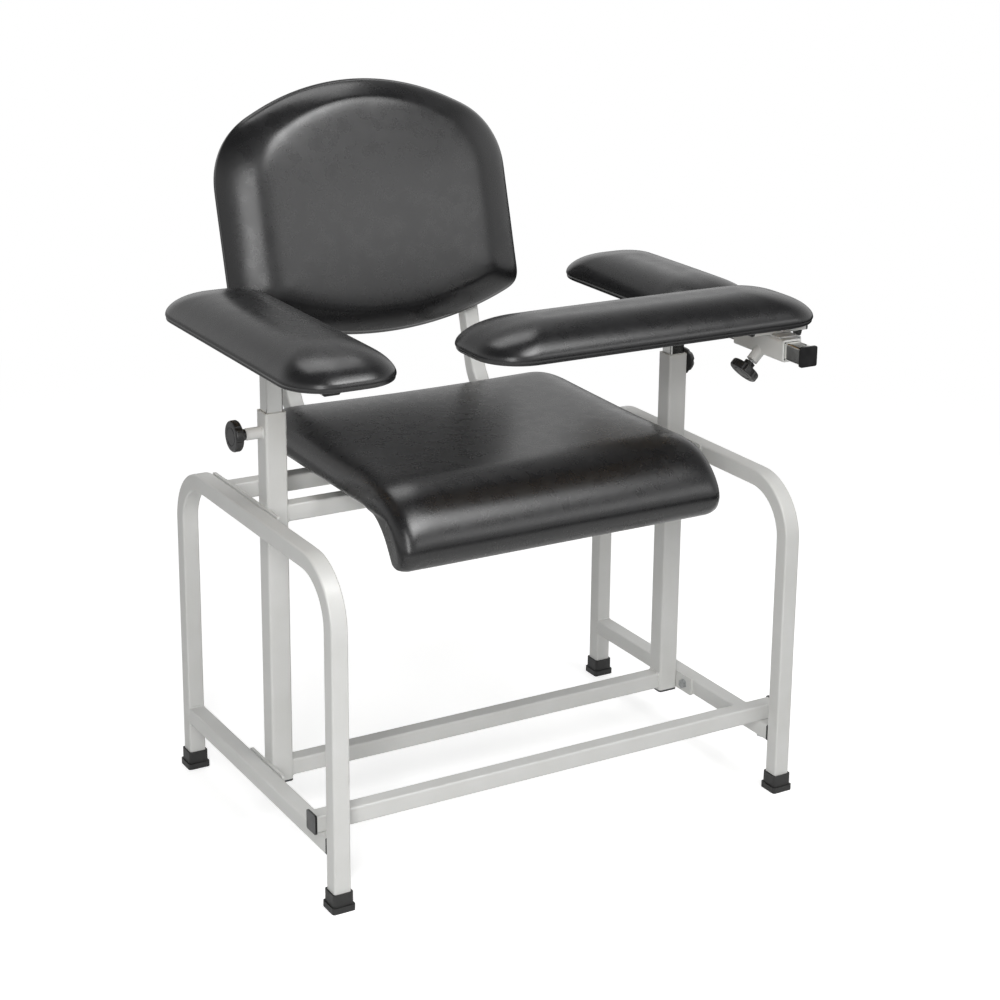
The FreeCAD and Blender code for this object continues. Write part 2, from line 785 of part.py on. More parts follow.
seat_screws = []
back_screws = []
bearer_plugs = []
seat_screw_places = (
    middle + s.seat_screw_middle - s.seat_screw_spread / 2,
    middle + s.seat_screw_middle + s.seat_screw_spread / 2,
)
upright_end = s.upright_length - s.back_datum_up
back_screw_places = (s.back_screw_low, upright_end - s.back_screw_under_end)
screw_length = s.tube_side + s.screw_bite
seat_board_holes = []
back_board_holes = []
for side, sign in SIDES:
    x = bearer_x * sign
    tube = bent_tube(f"{side}_bearer_tube", "y", bearer_path, ZERO, ZERO)
    put(tube, x, middle - s.bearer_front, bearer_z)
    tools = []
    for name, y, _ in crossbars:
        start = s.rail_top - s.overrun
        length = s.overrun + s.tube_side / 2
        tools.append(rod(f"{side}_{name}_bearer_hole", bolt_hole, length, UP, x, y, start))
    for count, y in enumerate(seat_screw_places, start=1):
        name = f"{side}_seat_screw{count}"
        seat_screws.append(wood_screw(name, screw_length, UP, x, y, s.rail_top))
        passage = rod(f"{name}_hole", screw_hole, screw_length + s.screw_play, UP, x, y, s.rail_top)
        tools.append(passage)
        seat_board_holes.append(passage)
    back_tools = []
    for count, height in enumerate(back_screw_places, start=1):
        name = f"{side}_back_screw{count}"
        back_screws.append(wood_screw(name, screw_length, FRONT, x, s.tube_side, height))
        length = screw_length + s.screw_play
        back_tools.append(rod(f"{name}_hole", screw_hole, length, FRONT, x, s.tube_side, height))
    tools.append(lean_back(group(f"{side}_upright_holes", back_tools)))
    back_board_holes.append(tools[-1])
    keep(cut(f"{side}_seat_bearer", tube, tools))

    sides = (s.tube_side, s.tube_side)
    bores = (bore_side, bore_side)
    front_place = (x, middle - s.bearer_front, bearer_z)
    name = f"{side}_bearer_plug"
    plug_sizes = (sides, s.plug_flange, bores, s.tube_corner)
    bearer_plugs.append(plug(f"{name}_front", "y", -1, *plug_sizes, *front_place))
    top_place = (x, s.tube_side / 2, upright_end)
    top_plug = plug(f"{name}_top", "z", 1, *plug_sizes, *top_place)
    bearer_plugs.append(lean_back(group(f"{name}_upper", [top_plug])))
keep(group("seat_screws", seat_screws))
keep(lean_back(group("back_screws", back_screws)))
keep(group("bearer_end_plugs", bearer_plugs))

# Cushion forms


def feature(name, shape):
    """A piece whose shape is worked out point by point from the sheet."""
    piece = document.addObject("Part::Feature", name)
    piece.Shape = shape
    return piece


def arc_edge(first, through, last):
    """A circular edge through three points."""
    return Part.Arc(first, through, last).toShape()


def straight_edge(first, last):
    """A straight edge between two points."""
    return Part.LineSegment(first, last).toShape()


def bowed_edge(first, last, share):
    """A circular edge in a side-on outline, bowed outward by a share of its chord."""
    chord = last - first
    outward = Vector(0, chord.z, -chord.y) * share
    return arc_edge(first, (first + last) * HALF + outward, last)


def loft(wires):
    """A closed solid through a row of outlines, with straight sides from each to the next."""
    return Part.makeLoft(wires, True, True)


def round_fall(inward, radius):
    """How far a round edge has fallen at a distance in from the side."""
    if inward >= radius:
        return 0
    return radius - math.sqrt(radius**2 - (radius - inward) ** 2)


SEAT_RIB_SHARES = (0, 0.004, 0.012, 0.025, 0.045, 0.07, 0.1, 0.15, 0.21, 0.4, 0.7, 1)
SEAT_TUCK_SHARE = 0.5
SEAT_NOSE_BOW_SHARE = 0.16
SEAT_CHIN_BOW_SHARE = 0.14
SEAT_CURL_BOW_SHARE = 0.2


def seat_rib(across):
    """One side-on outline of the seat, from its rear edge round the nose to the lip and back."""
    half = seat_width.value / 2
    inward = half - abs(across)
    edge = round_fall(inward, s.seat_edge.value)
    rear_fall = round_fall(inward, s.seat_rear_corner.value)
    front_fall = round_fall(inward, s.seat_front_corner.value)
    dish = s.seat_dish.value * max(0, 1 - (across / half) ** 2) ** 2
    top = s.seat_thick.value - edge - dish
    under = edge * SEAT_TUCK_SHARE
    rear = s.seat_rear.value - rear_fall
    front = -s.seat_front.value + front_fall
    crest = s.seat_thick.value
    round_rear = min(s.seat_edge.value, (top - under) * SEAT_TUCK_SHARE)
    slope_y = -s.seat_slope_start.value
    nose_z = crest - s.seat_nose_drop.value
    lip_y = -s.seat_front.value + s.seat_lip_back.value
    lip_z = crest - s.seat_lip_drop.value + front_fall * SEAT_TUCK_SHARE
    inner_y = -s.seat_lip_inside.value - front_fall * SEAT_TUCK_SHARE / 2
    inner_z = crest - s.seat_lip_inside_drop.value
    slope_z = top - s.seat_slope_drop.value
    diagonal = DIAGONAL_SHARE

    def at(y, z):
        return Vector(across, y, z)

    rear_low = at(rear, under)
    rear_high = at(rear, top - round_rear)
    rear_crest = at(rear - round_rear, top)
    rear_round = at(rear - round_rear * (1 - diagonal), top - round_rear * (1 - diagonal))
    slope = at(slope_y, slope_z)
    nose = at(front, nose_z)
    lip = at(lip_y, lip_z)
    inner = at(inner_y, inner_z)
    heel = at(-s.seat_board_front.value, under)
    return Part.Wire(
        [
            straight_edge(rear_low, rear_high),
            arc_edge(rear_high, rear_round, rear_crest),
            straight_edge(rear_crest, slope),
            bowed_edge(slope, nose, SEAT_NOSE_BOW_SHARE),
            bowed_edge(nose, lip, SEAT_CHIN_BOW_SHARE),
            bowed_edge(lip, inner, SEAT_CURL_BOW_SHARE),
            straight_edge(inner, heel),
            straight_edge(heel, rear_low),
        ]
    )


def seat_form():
    """The seat lofted from side to side."""
    half = seat_width.value / 2
    left = [-half * (1 - share) for share in SEAT_RIB_SHARES]
    places = left + [-place for place in reversed(left[:-1])]
    return loft([seat_rib(place) for place in places])


def rounded_loop(length, width, corner, height):
    """A level outline with rounded corners: length along Y, width along X."""
    x = width / 2
    y = length / 2
    square = x - corner
    side = y - corner
    diagonal = corner * DIAGONAL_SHARE
    edges = []
    corners = ((1, 1), (-1, 1), (-1, -1), (1, -1))
    for sx, sy in corners:
        ends = [Vector(sx * x, sy * side, height), Vector(sx * square, sy * y, height)]
        if sx != sy:
            ends.reverse()
        through = Vector(sx * (square + diagonal), sy * (side + diagonal), height)
        edges.append((ends[0], through, ends[1]))
    loop = []
    for place, (first, through, last) in enumerate(edges):
        loop.append(arc_edge(first, through, last))
        loop.append(straight_edge(last, edges[(place + 1) % len(edges)][0]))
    return Part.Wire(loop)


EDGE_ANGLES = (0, 15, 30, 45, 60, 75)
LOW_LEVEL_SHARES = ((0, 1), (0.06, 0.45), (0.16, 0.12), (0.3, 0))
CROWN_SHARE = 0.12
CROWN_FALL_SHARE = 1 / 3
SHOULDER_SHARE = 0.66


def cushion_levels(thickness, rounding):
    """Heights and insets of a cushion's outline, from its drawn-in foot to its crown."""
    thick = thickness.value
    edge = rounding.value
    tuck = s.pad_tuck.value
    crown = s.pad_crown_inset.value
    levels = [(thick * share, tuck * inset) for share, inset in LOW_LEVEL_SHARES]
    crown_height = edge * CROWN_SHARE
    for angle in EDGE_ANGLES:
        bend = math.radians(angle)
        height = thick - edge + (edge - crown_height) * math.sin(bend)
        levels.append((height, edge * (1 - math.cos(bend))))
    levels.append((thick - crown_height * CROWN_FALL_SHARE, edge + crown * CROWN_FALL_SHARE))
    levels.append((thick, edge + crown))
    return levels


def pad_form(length, width):
    """An arm pad or cross pad, lying along Y."""
    corner = s.pad_corner.value
    levels = cushion_levels(s.pad_thick, s.pad_edge)
    wires = []
    for height, inset in levels:
        wires.append(rounded_loop(length - inset * 2, width - inset * 2, corner - inset, height))
    return loft(wires)


def back_outline(inset, forward):
    """The backrest's outline, drawn in all round and moved forward."""
    tall = (s.back_top.value + s.back_foot_drop.value) / 2
    centre = s.back_top.value - tall
    half = back_half_width.value
    narrow = 1 - inset / half
    lower = 1 - inset / tall

    def at(x, z):
        return Vector(x * narrow, -forward, centre + (z - centre) * lower)

    shoulder_x = half - s.back_shoulder_inset.value
    shoulder_z = s.back_shoulder.value
    side_top = s.back_side_top.value
    foot_x = half - s.back_foot_inset.value
    foot_z = -s.back_foot_up.value
    turn_x = half - (half - foot_x) * (1 - DIAGONAL_SHARE)
    turn_z = foot_z * DIAGONAL_SHARE
    bulge_x = shoulder_x + (half - shoulder_x) * SHOULDER_SHARE
    bulge_z = side_top + (shoulder_z - side_top) * SHOULDER_SHARE
    right = [
        (at(shoulder_x, shoulder_z), at(bulge_x, bulge_z), at(half, side_top)),
        (at(half, side_top), None, at(half, 0)),
        (at(half, 0), at(turn_x, turn_z), at(foot_x, foot_z)),
    ]
    left = [
        (at(-foot_x, foot_z), at(-turn_x, turn_z), at(-half, 0)),
        (at(-half, 0), None, at(-half, side_top)),
        (at(-half, side_top), at(-bulge_x, bulge_z), at(-shoulder_x, shoulder_z)),
    ]
    foot = (at(foot_x, foot_z), at(0, -s.back_foot_drop.value), at(-foot_x, foot_z))
    top = (at(-shoulder_x, shoulder_z), at(0, s.back_top.value), at(shoulder_x, shoulder_z))
    edges = []
    for first, through, last in (*right, foot, *left, top):
        edges.append(arc_edge(first, through, last) if through else straight_edge(first, last))
    return Part.Wire(edges)


def back_form():
    """The backrest lofted from its board forward to its crown."""
    levels = cushion_levels(s.back_thick, s.back_edge)
    return loft([back_outline(inset, height) for height, inset in levels])


# Seat and backrest

seat_board_rear = s.seat_rear - s.seat_board_inset
seat_board_length = s.seat_board_front + seat_board_rear
seat_board_y = middle + (seat_board_rear - s.seat_board_front) / 2
seat_board_width = seat_width - s.seat_board_side_inset * 2
board_outline = rectangle(seat_board_width, seat_board_length, s.seat_rear_corner)
board_place = (ZERO, seat_board_y, bearer_top + s.board_thick / 2)
seat_blank = prism("seat_board_blank", "z", s.board_thick, [board_outline], *board_place)
seat = put(feature("seat_form", seat_form()), ZERO, middle, bearer_top)
keep(cut("seat_cushion", seat, [seat_blank]))
keep(cut("seat_board", seat_blank, seat_board_holes))

back_face = Part.Face(back_outline(s.back_board_inset.value, 0))
back_blank = lean_back(feature("back_board_blank", back_face.extrude(FRONT * s.board_thick.value)))
back = lean_back(feature("back_form", back_form()))
keep(cut("back_cushion", back, [back_blank]))
keep(cut("back_board", back_blank, back_board_holes))

# Padded boards of the arms and the cross pad


def padded_board(name, length, along, screws, x, y, under):
    """A board inside its cushion, with blind holes for its screws."""
    inset = s.pad_board_inset * 2
    sides = (s.pad_width - inset, length - inset)
    if along == "x":
        sides = sides[::-1]
    outline = rectangle(*sides, s.pad_corner - s.pad_board_inset)
    board_z = under + s.board_thick / 2
    blank = prism(f"{name}_board_blank", "z", s.board_thick, [outline], x, y, board_z)
    turn = Rotation(UP, 90 if along == "x" else 0)
    form = put(feature(f"{name}_form", pad_form(length.value, s.pad_width.value)), x, y, under, turn)
    holes = []
    for count, (screw_x, screw_y) in enumerate(screws, start=1):
        place = (screw_x, screw_y, under - s.overrun)
        depth = s.overrun + s.screw_bite + s.screw_play
        holes.append(rod(f"{name}_blind{count}", screw_hole, depth, UP, *place))
    keep(cut(f"{name}_pad", form, [blank]))
    keep(cut(f"{name}_board", blank, holes))


# Arms

arm_bar_front = {"left": s.left_bar_front, "right": s.right_bar_front}
arm_pad_length = {"left": s.left_pad_length, "right": s.right_pad_length}
arm_raise = {"left": s.left_arm_raise, "right": ZERO}
right_bar_z = s.arm_bar_under + s.tube_side / 2
for side, sign in SIDES:
    x = post_x * sign
    under = s.arm_bar_under + arm_raise[side]
    top = under + s.tube_side
    foot = s.arm_tube_foot + arm_raise[side]
    tube_middle = (foot + under) / 2
    keep(square_tube(f"{side}_arm_tube", "z", *tube_sizes, under - foot, x, post_y, tube_middle))

    front = middle - arm_bar_front[side]
    rear = middle + s.arm_bar_rear
    bar_middle = (front + rear) / 2
    bar_z = under + s.tube_side / 2
    bar = square_tube(f"{side}_bar_tube", "y", *tube_sizes, rear - front, x, bar_middle, bar_z)

    pad_y = middle + s.arm_pad_rear - arm_pad_length[side] / 2
    places = [(x, pad_y - s.arm_screw_spread / 2), (x, pad_y + s.arm_screw_spread / 2)]
    screws = []
    for count, (screw_x, screw_y) in enumerate(places, start=1):
        name = f"{side}_arm_screw{count}"
        screws.append(wood_screw(name, screw_length, UP, screw_x, screw_y, under))
    holes = [(screw_hole, *place, under) for place in places]
    keep(cut(f"{side}_arm_bar", bar, drill(f"{side}_arm", holes)))
    keep(group(f"{side}_arm_screws", screws))
    padded_board(f"{side}_arm", arm_pad_length[side], "y", places, x, pad_y, top)

    sides = (s.tube_side, s.tube_side)
    bores = (bore_side, bore_side)
    front_sides = sides if side == "left" else (s.arm_cap_side, s.arm_cap_side)
    front_flange = s.plug_flange if side == "left" else s.arm_cap_flange
    names = (f"{side}_bar_front_plug", f"{side}_bar_rear_plug")
    front_sizes = (front_sides, front_flange, bores, s.tube_corner)
    front_plug = plug(names[0], "y", -1, *front_sizes, x, front, bar_z)
    rear_plug = plug(names[1], "y", 1, sides, s.plug_flange, bores, s.tube_corner, x, rear, bar_z)
    keep(group(f"{side}_arm_bar_plugs", [front_plug, rear_plug]))

# Sleeve on the right bar, with its clamp boss on the lower inner edge

SLEEVE_SHARES = (-DIAGONAL_SHARE, 0, -DIAGONAL_SHARE)
sleeve_outward = Vector(*SLEEVE_SHARES)
sleeve_x = post_x
sleeve_y = middle - s.sleeve_rear - s.sleeve_length / 2
sleeve_edge_x = sleeve_x - s.post_side / 2
sleeve_edge_z = right_bar_z - s.post_side / 2
sleeve_face = sleeve_x + s.post_side / 2
sleeve_top = right_bar_z + s.post_side / 2
edge_place = (sleeve_edge_x, sleeve_y, sleeve_edge_z)
outer_outline = rectangle(s.post_side, s.post_side, s.post_corner)
outer = prism("sleeve_outer", "y", s.sleeve_length, [outer_outline], sleeve_x, sleeve_y, right_bar_z)
boss_place = along(edge_place, SLEEVE_SHARES, boss_depth * -1)
boss = rod("sleeve_boss", s.boss_across, boss_depth + s.sleeve_boss_show, sleeve_outward, *boss_place)
bore_outline = rectangle(post_bore, post_bore, s.post_corner - s.post_wall)
bore_length = s.sleeve_length + s.overrun * 2
bore = prism("sleeve_bore", "y", bore_length, [bore_outline], sleeve_x, sleeve_y, right_bar_z)
passage_place = (sleeve_x, sleeve_y, right_bar_z)
passage_length = s.post_side + s.sleeve_boss_show
passage = rod("sleeve_boss_hole", stud_hole, passage_length, sleeve_outward, *passage_place)
keep(cut("slide_sleeve", fuse("sleeve_body", [outer, boss]), [bore, passage]))

# Clamp screws: a scalloped plastic knob on a threaded stud


def knob_form(name, hub_start):
    """A scalloped knob with a hub, standing on its stud's axis."""
    disc_start = hub_start + s.knob_hub_length
    end = disc_start + s.knob_thick
    disc = rod(f"{name}_disc", s.knob_across, s.knob_thick, UP, ZERO, ZERO, disc_start)
    document.recompute()
    soft = document.addObject("Part::Fillet", f"{name}_soft_disc")
    soft.Base = disc
    rims = [place for place, edge in enumerate(disc.Shape.Edges, start=1) if edge.Closed]
    soft.Edges = [(place, s.knob_edge.value, s.knob_edge.value) for place in rims]
    hub_length = s.knob_hub_length + s.knob_thick / 2
    hub = rod(f"{name}_hub", s.knob_hub, hub_length, UP, ZERO, ZERO, hub_start)
    tools = []
    ring = s.knob_across / 2 + s.knob_scallop / 2 - s.knob_scallop_bite
    length = s.knob_thick + s.overrun * 2
    for count in range(int(s.knob_lobes.value)):
        turn = math.tau * count / s.knob_lobes.value
        place = (ring * math.cos(turn), ring * math.sin(turn), disc_start - s.overrun)
        tools.append(rod(f"{name}_scallop{count}", s.knob_scallop, length, UP, *place))
    groove = document.addObject("Part::Torus", f"{name}_groove")
    groove.setExpression("Radius1", (s.knob_groove_across / 2).text)
    groove.setExpression("Radius2", (s.knob_groove_size / 2).text)
    tools.append(put(groove, ZERO, ZERO, end))
    well_length = end - hub_start - s.knob_edge
    tools.append(rod(f"{name}_well", s.stud_size, well_length, UP, ZERO, ZERO, hub_start))
    return cut(f"{name}_knob", fuse(f"{name}_knob_body", [soft, hub]), tools)


def clamp_screw(name, shares, reach, show, depth, place):
    """A knob and stud whose axis starts on a tube's face or corner and runs out through a boss."""
    hub_start = reach + show
    outward = Vector(*shares)
    keep(put(knob_form(name, hub_start), *place, Rotation(UP, outward)))
    length = depth + hub_start + s.knob_hub_length + s.knob_thick - s.knob_edge
    keep(rod(f"{name}_stud", s.stud_size, length, outward, *along(place, shares, depth * -1)))


post_tip = s.post_wall + (post_bore - s.tube_side) / 2 - s.tip_gap
stud_depths = {"left": post_tip, "right": s.corner_stud_depth}
for side, sign in SIDES:
    boss_reach = (s.boss_length, s.stud_show, stud_depths[side])
    clamp_screw(f"{side}_clamp", OUTWARD_SHARES[side], *boss_reach, clamp_edge(side, sign))
boss_reach = (s.sleeve_boss_show, s.slide_stud_show, s.corner_stud_depth)
clamp_screw("slide_clamp", SLEEVE_SHARES, *boss_reach, edge_place)

# Flip hinge along the sleeve's outer edge

hinge_x = sleeve_face + s.knuckle_across / 2 + s.hinge_stand_off
hinge_z = sleeve_top - s.hinge_under_top
hinge_y = middle - s.hinge_forward
knuckle_step = (s.hinge_length + s.knuckle_gap) / s.knuckle_count
knuckle_length = knuckle_step - s.knuckle_gap
knuckle_places = [
    hinge_y - s.hinge_length / 2 + knuckle_length / 2 + knuckle_step * count
    for count in range(int(s.knuckle_count.value))
]
pin_hole = s.pin_across + s.pin_play * 2
square_corner = s.leaf_corner
fixed_leaf_x = sleeve_face + s.leaf_thick / 2
fixed_leaf_top = hinge_z - s.knuckle_across / 2 - s.knuckle_gap


def knuckle(name, y):
    """One barrel of the hinge, centred on a place along the pin."""
    return rod(name, s.knuckle_across, knuckle_length, REAR, hinge_x, y - knuckle_length / 2, hinge_z)


def pin_passage(name):
    """The hole that the hinge pin lies in."""
    length = s.hinge_length + s.overrun * 2
    return rod(name, pin_hole, length, REAR, hinge_x, hinge_y - length / 2, hinge_z)


leaf_height = fixed_leaf_top - s.fixed_leaf_foot
leaf_z = s.fixed_leaf_foot + leaf_height / 2
leaf_outline = rectangle(s.hinge_length, leaf_height, square_corner)
fixed_pieces = [prism("fixed_leaf_plate", "x", s.leaf_thick, [leaf_outline], fixed_leaf_x, hinge_y, leaf_z)]
tab_height = hinge_z - fixed_leaf_top + s.leaf_thick
tab_z = fixed_leaf_top - s.leaf_thick + tab_height / 2
for count, y in enumerate(knuckle_places[::2]):
    outline = rectangle(knuckle_length, tab_height, square_corner)
    fixed_pieces.append(prism(f"fixed_tab{count}", "x", s.leaf_thick, [outline], fixed_leaf_x, y, tab_z))
    fixed_pieces.append(knuckle(f"fixed_knuckle{count}", y))
keep(cut("hinge_fixed_leaf", fuse("fixed_leaf_body", fixed_pieces), [pin_passage("fixed_pin_hole")]))
keep(rod("hinge_pin", s.pin_across, s.hinge_length, REAR, hinge_x, hinge_y - s.hinge_length / 2, hinge_z))

moving_leaf_z = sleeve_top + s.leaf_thick / 2
leaf_right = sleeve_face - s.hinge_stand_off
leaf_left = sleeve_face - s.moving_leaf_reach
leaf_x = (leaf_left + leaf_right) / 2
tab_left = leaf_right - s.leaf_thick
tab_width = hinge_x - tab_left
leaf_outline = rectangle(leaf_right - leaf_left, s.hinge_length, square_corner)
tab_outline = rectangle(tab_width, knuckle_length, square_corner)
leaf_place = (leaf_x, hinge_y, moving_leaf_z)
moving_pieces = [prism("moving_leaf_plate", "z", s.leaf_thick, [leaf_outline], *leaf_place)]
for count, y in enumerate(knuckle_places[1::2]):
    place = (tab_left + tab_width / 2, y, moving_leaf_z)
    moving_pieces.append(prism(f"moving_tab{count}", "z", s.leaf_thick, [tab_outline], *place))
    moving_pieces.append(knuckle(f"moving_knuckle{count}", y))
keep(cut("hinge_moving_leaf", fuse("moving_leaf_body", moving_pieces), [pin_passage("moving_pin_hole")]))

# Bracket that carries the cross pad

leaf_top = sleeve_top + s.leaf_thick
bracket_z = leaf_top + s.bracket_height / 2
bracket_left = post_x - s.bracket_inward
bracket_right = post_x + s.bracket_outward
plate_left = post_x - s.pad_plate_inward
bracket_x = (bracket_left + bracket_right) / 2
bracket_length = bracket_right - bracket_left
bracket_bores = (bore_side, s.bracket_height - s.tube_wall * 2)
bracket_tubes = []
bracket_plugs = []
for count in range(2):
    y = middle - s.bracket_forward + s.bracket_spread * count
    outlines = [
        rectangle(s.tube_side, s.bracket_height, s.tube_corner),
        rectangle(*bracket_bores, s.tube_corner - s.tube_wall),
    ]
    name = f"bracket{count + 1}"
    bracket_tubes.append(prism(f"{name}_tube", "x", bracket_length, outlines, bracket_x, y, bracket_z))
    for end, sign, x in (("left", -1, bracket_left), ("right", 1, bracket_right)):
        sides = (s.tube_side, s.bracket_height)
        place = (x, y, bracket_z)
        plug_sizes = (sides, s.plug_flange, bracket_bores, s.tube_corner)
        bracket_plugs.append(plug(f"{name}_{end}_plug", "x", sign, *plug_sizes, *place))
keep(group("bracket_tubes", bracket_tubes))
keep(group("bracket_tube_plugs", bracket_plugs))

plate_under = leaf_top + s.bracket_height
plate_x = (plate_left + bracket_right) / 2
plate_y = middle - s.pad_plate_front + s.pad_plate_width / 2
plate_top = plate_under + s.pad_plate_thick
gap_y = middle - s.bracket_forward + s.bracket_spread / 2
row_x = plate_left + s.pad_screw_margin
last_x = bracket_right - s.pad_screw_margin
pad_screw_places = (
    (row_x, gap_y - s.pad_screw_rows / 2),
    (row_x, gap_y + s.pad_screw_rows / 2),
    (last_x - s.pad_screw_pitch, gap_y),
    (last_x, gap_y),
)
outlines = [rectangle(bracket_right - plate_left, s.pad_plate_width, s.plate_corner)]
pad_screws = []
for count, (x, y) in enumerate(pad_screw_places, start=1):
    outlines.append(hole(screw_hole, x - plate_x, y - plate_y))
    length = s.pad_plate_thick + s.screw_bite
    pad_screws.append(wood_screw(f"cross_pad_screw{count}", length, UP, x, y, plate_under))
plate_z_middle = plate_under + s.pad_plate_thick / 2
keep(prism("pad_plate", "z", s.pad_plate_thick, outlines, plate_x, plate_y, plate_z_middle))
keep(group("cross_pad_screws", pad_screws))

bumper_tip = hinge_z - (hinge_x - sleeve_face - s.leaf_thick) + s.tip_gap
bumper = document.addObject("Part::Cone", "bumper")
bumper.setExpression("Radius1", (s.bumper_top_across / 2).text)
bumper.setExpression("Radius2", (s.bumper_tip_across / 2).text)
bumper.setExpression("Height", (leaf_top - bumper_tip).text)
bumper_place = (post_x + s.bumper_outward, middle - s.bumper_forward, leaf_top)
keep(put(bumper, *bumper_place, Rotation(UP, DOWN)))

cross_x = post_x + s.cross_pad_outward - s.cross_pad_length / 2
cross_y = middle - s.cross_pad_forward
padded_board("cross", s.cross_pad_length, "x", pad_screw_places, cross_x, cross_y, plate_top)

# Check and write

document.recompute()
faults = [item.Label for item in document.Objects if {"Invalid", "Error"} & set(item.State)]
faults += [piece.Label for piece in parts if piece.Shape.isNull() or not piece.Shape.isValid()]
if faults:
    raise RuntimeError(f"failed pieces: {faults}")
labels = [piece.Label for piece in parts]
if len(set(labels)) != len(labels):
    raise RuntimeError("two pieces share a name")
os.makedirs("parts", exist_ok=True)
overall = FreeCAD.BoundBox()
for piece in parts:
    overall.add(piece.Shape.BoundBox)
    piece.Shape.exportStep(f"parts/{piece.Label}.step")
    print(f"{piece.Label}: {len(piece.Shape.Solids)} solids, {piece.Shape.Volume:.0f} mm3")
print(f"{len(parts)} pieces, box {overall}")
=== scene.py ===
"""Dresses the phlebotomy chair: its pads, welds, staples and finishes, its floor, light and camera."""

import functools
import logging
import math
from dataclasses import dataclass, field
from enum import Enum

import bpy
import numpy as np
from mathutils import Matrix, Vector


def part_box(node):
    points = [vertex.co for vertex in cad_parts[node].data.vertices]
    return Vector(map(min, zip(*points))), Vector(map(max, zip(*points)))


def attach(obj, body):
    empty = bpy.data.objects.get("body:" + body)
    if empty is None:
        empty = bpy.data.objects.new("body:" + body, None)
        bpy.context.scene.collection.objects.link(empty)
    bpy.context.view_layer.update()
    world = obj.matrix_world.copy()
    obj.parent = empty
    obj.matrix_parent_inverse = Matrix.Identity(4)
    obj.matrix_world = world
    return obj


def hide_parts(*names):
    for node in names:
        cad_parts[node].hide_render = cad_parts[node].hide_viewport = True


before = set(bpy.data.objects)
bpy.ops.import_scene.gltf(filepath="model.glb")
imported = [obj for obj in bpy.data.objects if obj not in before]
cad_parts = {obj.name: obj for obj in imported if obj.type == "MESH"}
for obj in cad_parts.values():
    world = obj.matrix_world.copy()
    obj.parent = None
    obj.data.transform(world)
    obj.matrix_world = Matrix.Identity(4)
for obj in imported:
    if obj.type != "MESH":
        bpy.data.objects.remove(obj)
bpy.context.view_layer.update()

Tree, Node, Socket = bpy.types.NodeTree, bpy.types.Node, bpy.types.NodeSocket
LOG = logging.getLogger("chair")
MM = 0.001
VINYL = 0.7


class Body(str, Enum):
    """The bodies that carry the pieces made here."""

    FRAME = "frame"
    LEFT_ARM = "left_arm"
    RIGHT_ARM = "right_arm"
    FLIP_PAD = "flip_pad"


class Slot(str, Enum):
    """The material slots of the record."""

    COAT = "grey_powder_coat"
    CHROME = "chrome_tube"
    ZINC = "zinc_steel"
    VINYL = "black_vinyl"
    BOARD = "board_wood"
    PLASTIC = "black_plastic"
    RUBBER = "black_rubber"


class Extent:
    """A node's box at rest, in millimetres to a hundredth."""

    def __init__(self, node: str) -> None:
        """Measures the node.

        Args:
            node: The node's name.
        """
        self.low, self.high = (np.round(np.array(corner) / MM, 2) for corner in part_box(node))
        self.middle = (self.low + self.high) / 2
        self.size = self.high - self.low


FRAME_MIDDLE = Extent("left_side_frame").middle[1]

# Finishes


def linear(colour: str) -> tuple[float, float, float, float]:
    """Turns an sRGB hex colour to linear light: a channel c becomes ((c + 0.055) / 1.055) to the power 2.4.

    Args:
        colour: The colour as #RRGGBB.

    Returns:
        Red, green, blue and an alpha of one.
    """
    channels = np.array([int(colour[place : place + 2], 16) for place in (1, 3, 5)]) / 255
    curved = ((channels + 0.055) / 1.055) ** 2.4
    light = np.where(channels <= 0.04045, channels / 12.92, curved)
    return (*light.tolist(), 1.0)


def add_node(tree: Tree, kind: str, inputs: dict, **settings) -> Node:
    """Adds a shader node with its settings and its inputs.

    Args:
        tree: The node tree that takes it.
        kind: The node's type, without the ShaderNode that all begin with.
        inputs: For each input's name or number, a value or the socket that it is linked from.
        settings: The node's own properties.

    Returns:
        The new node.
    """
    node = tree.nodes.new(f"ShaderNode{kind}")
    for name, value in settings.items():
        setattr(node, name, value)
    for key, value in inputs.items():
        if isinstance(value, Socket):
            tree.links.new(value, node.inputs[key])
        else:
            node.inputs[key].default_value = value
    return node


def add_noise(tree: Tree, places: Socket, size: float, detail: float, **more) -> Node:
    """Adds soft noise.

    Args:
        tree: The node tree that takes it.
        places: Where the noise is read.
        size: How far across its lumps are, in millimetres.
        detail: How many finer layers it has.
        more: Values of its other inputs.

    Returns:
        The new node.
    """
    return add_node(tree, "TexNoise", {"Vector": places, "Scale": 1 / (size * MM), "Detail": detail, **more})


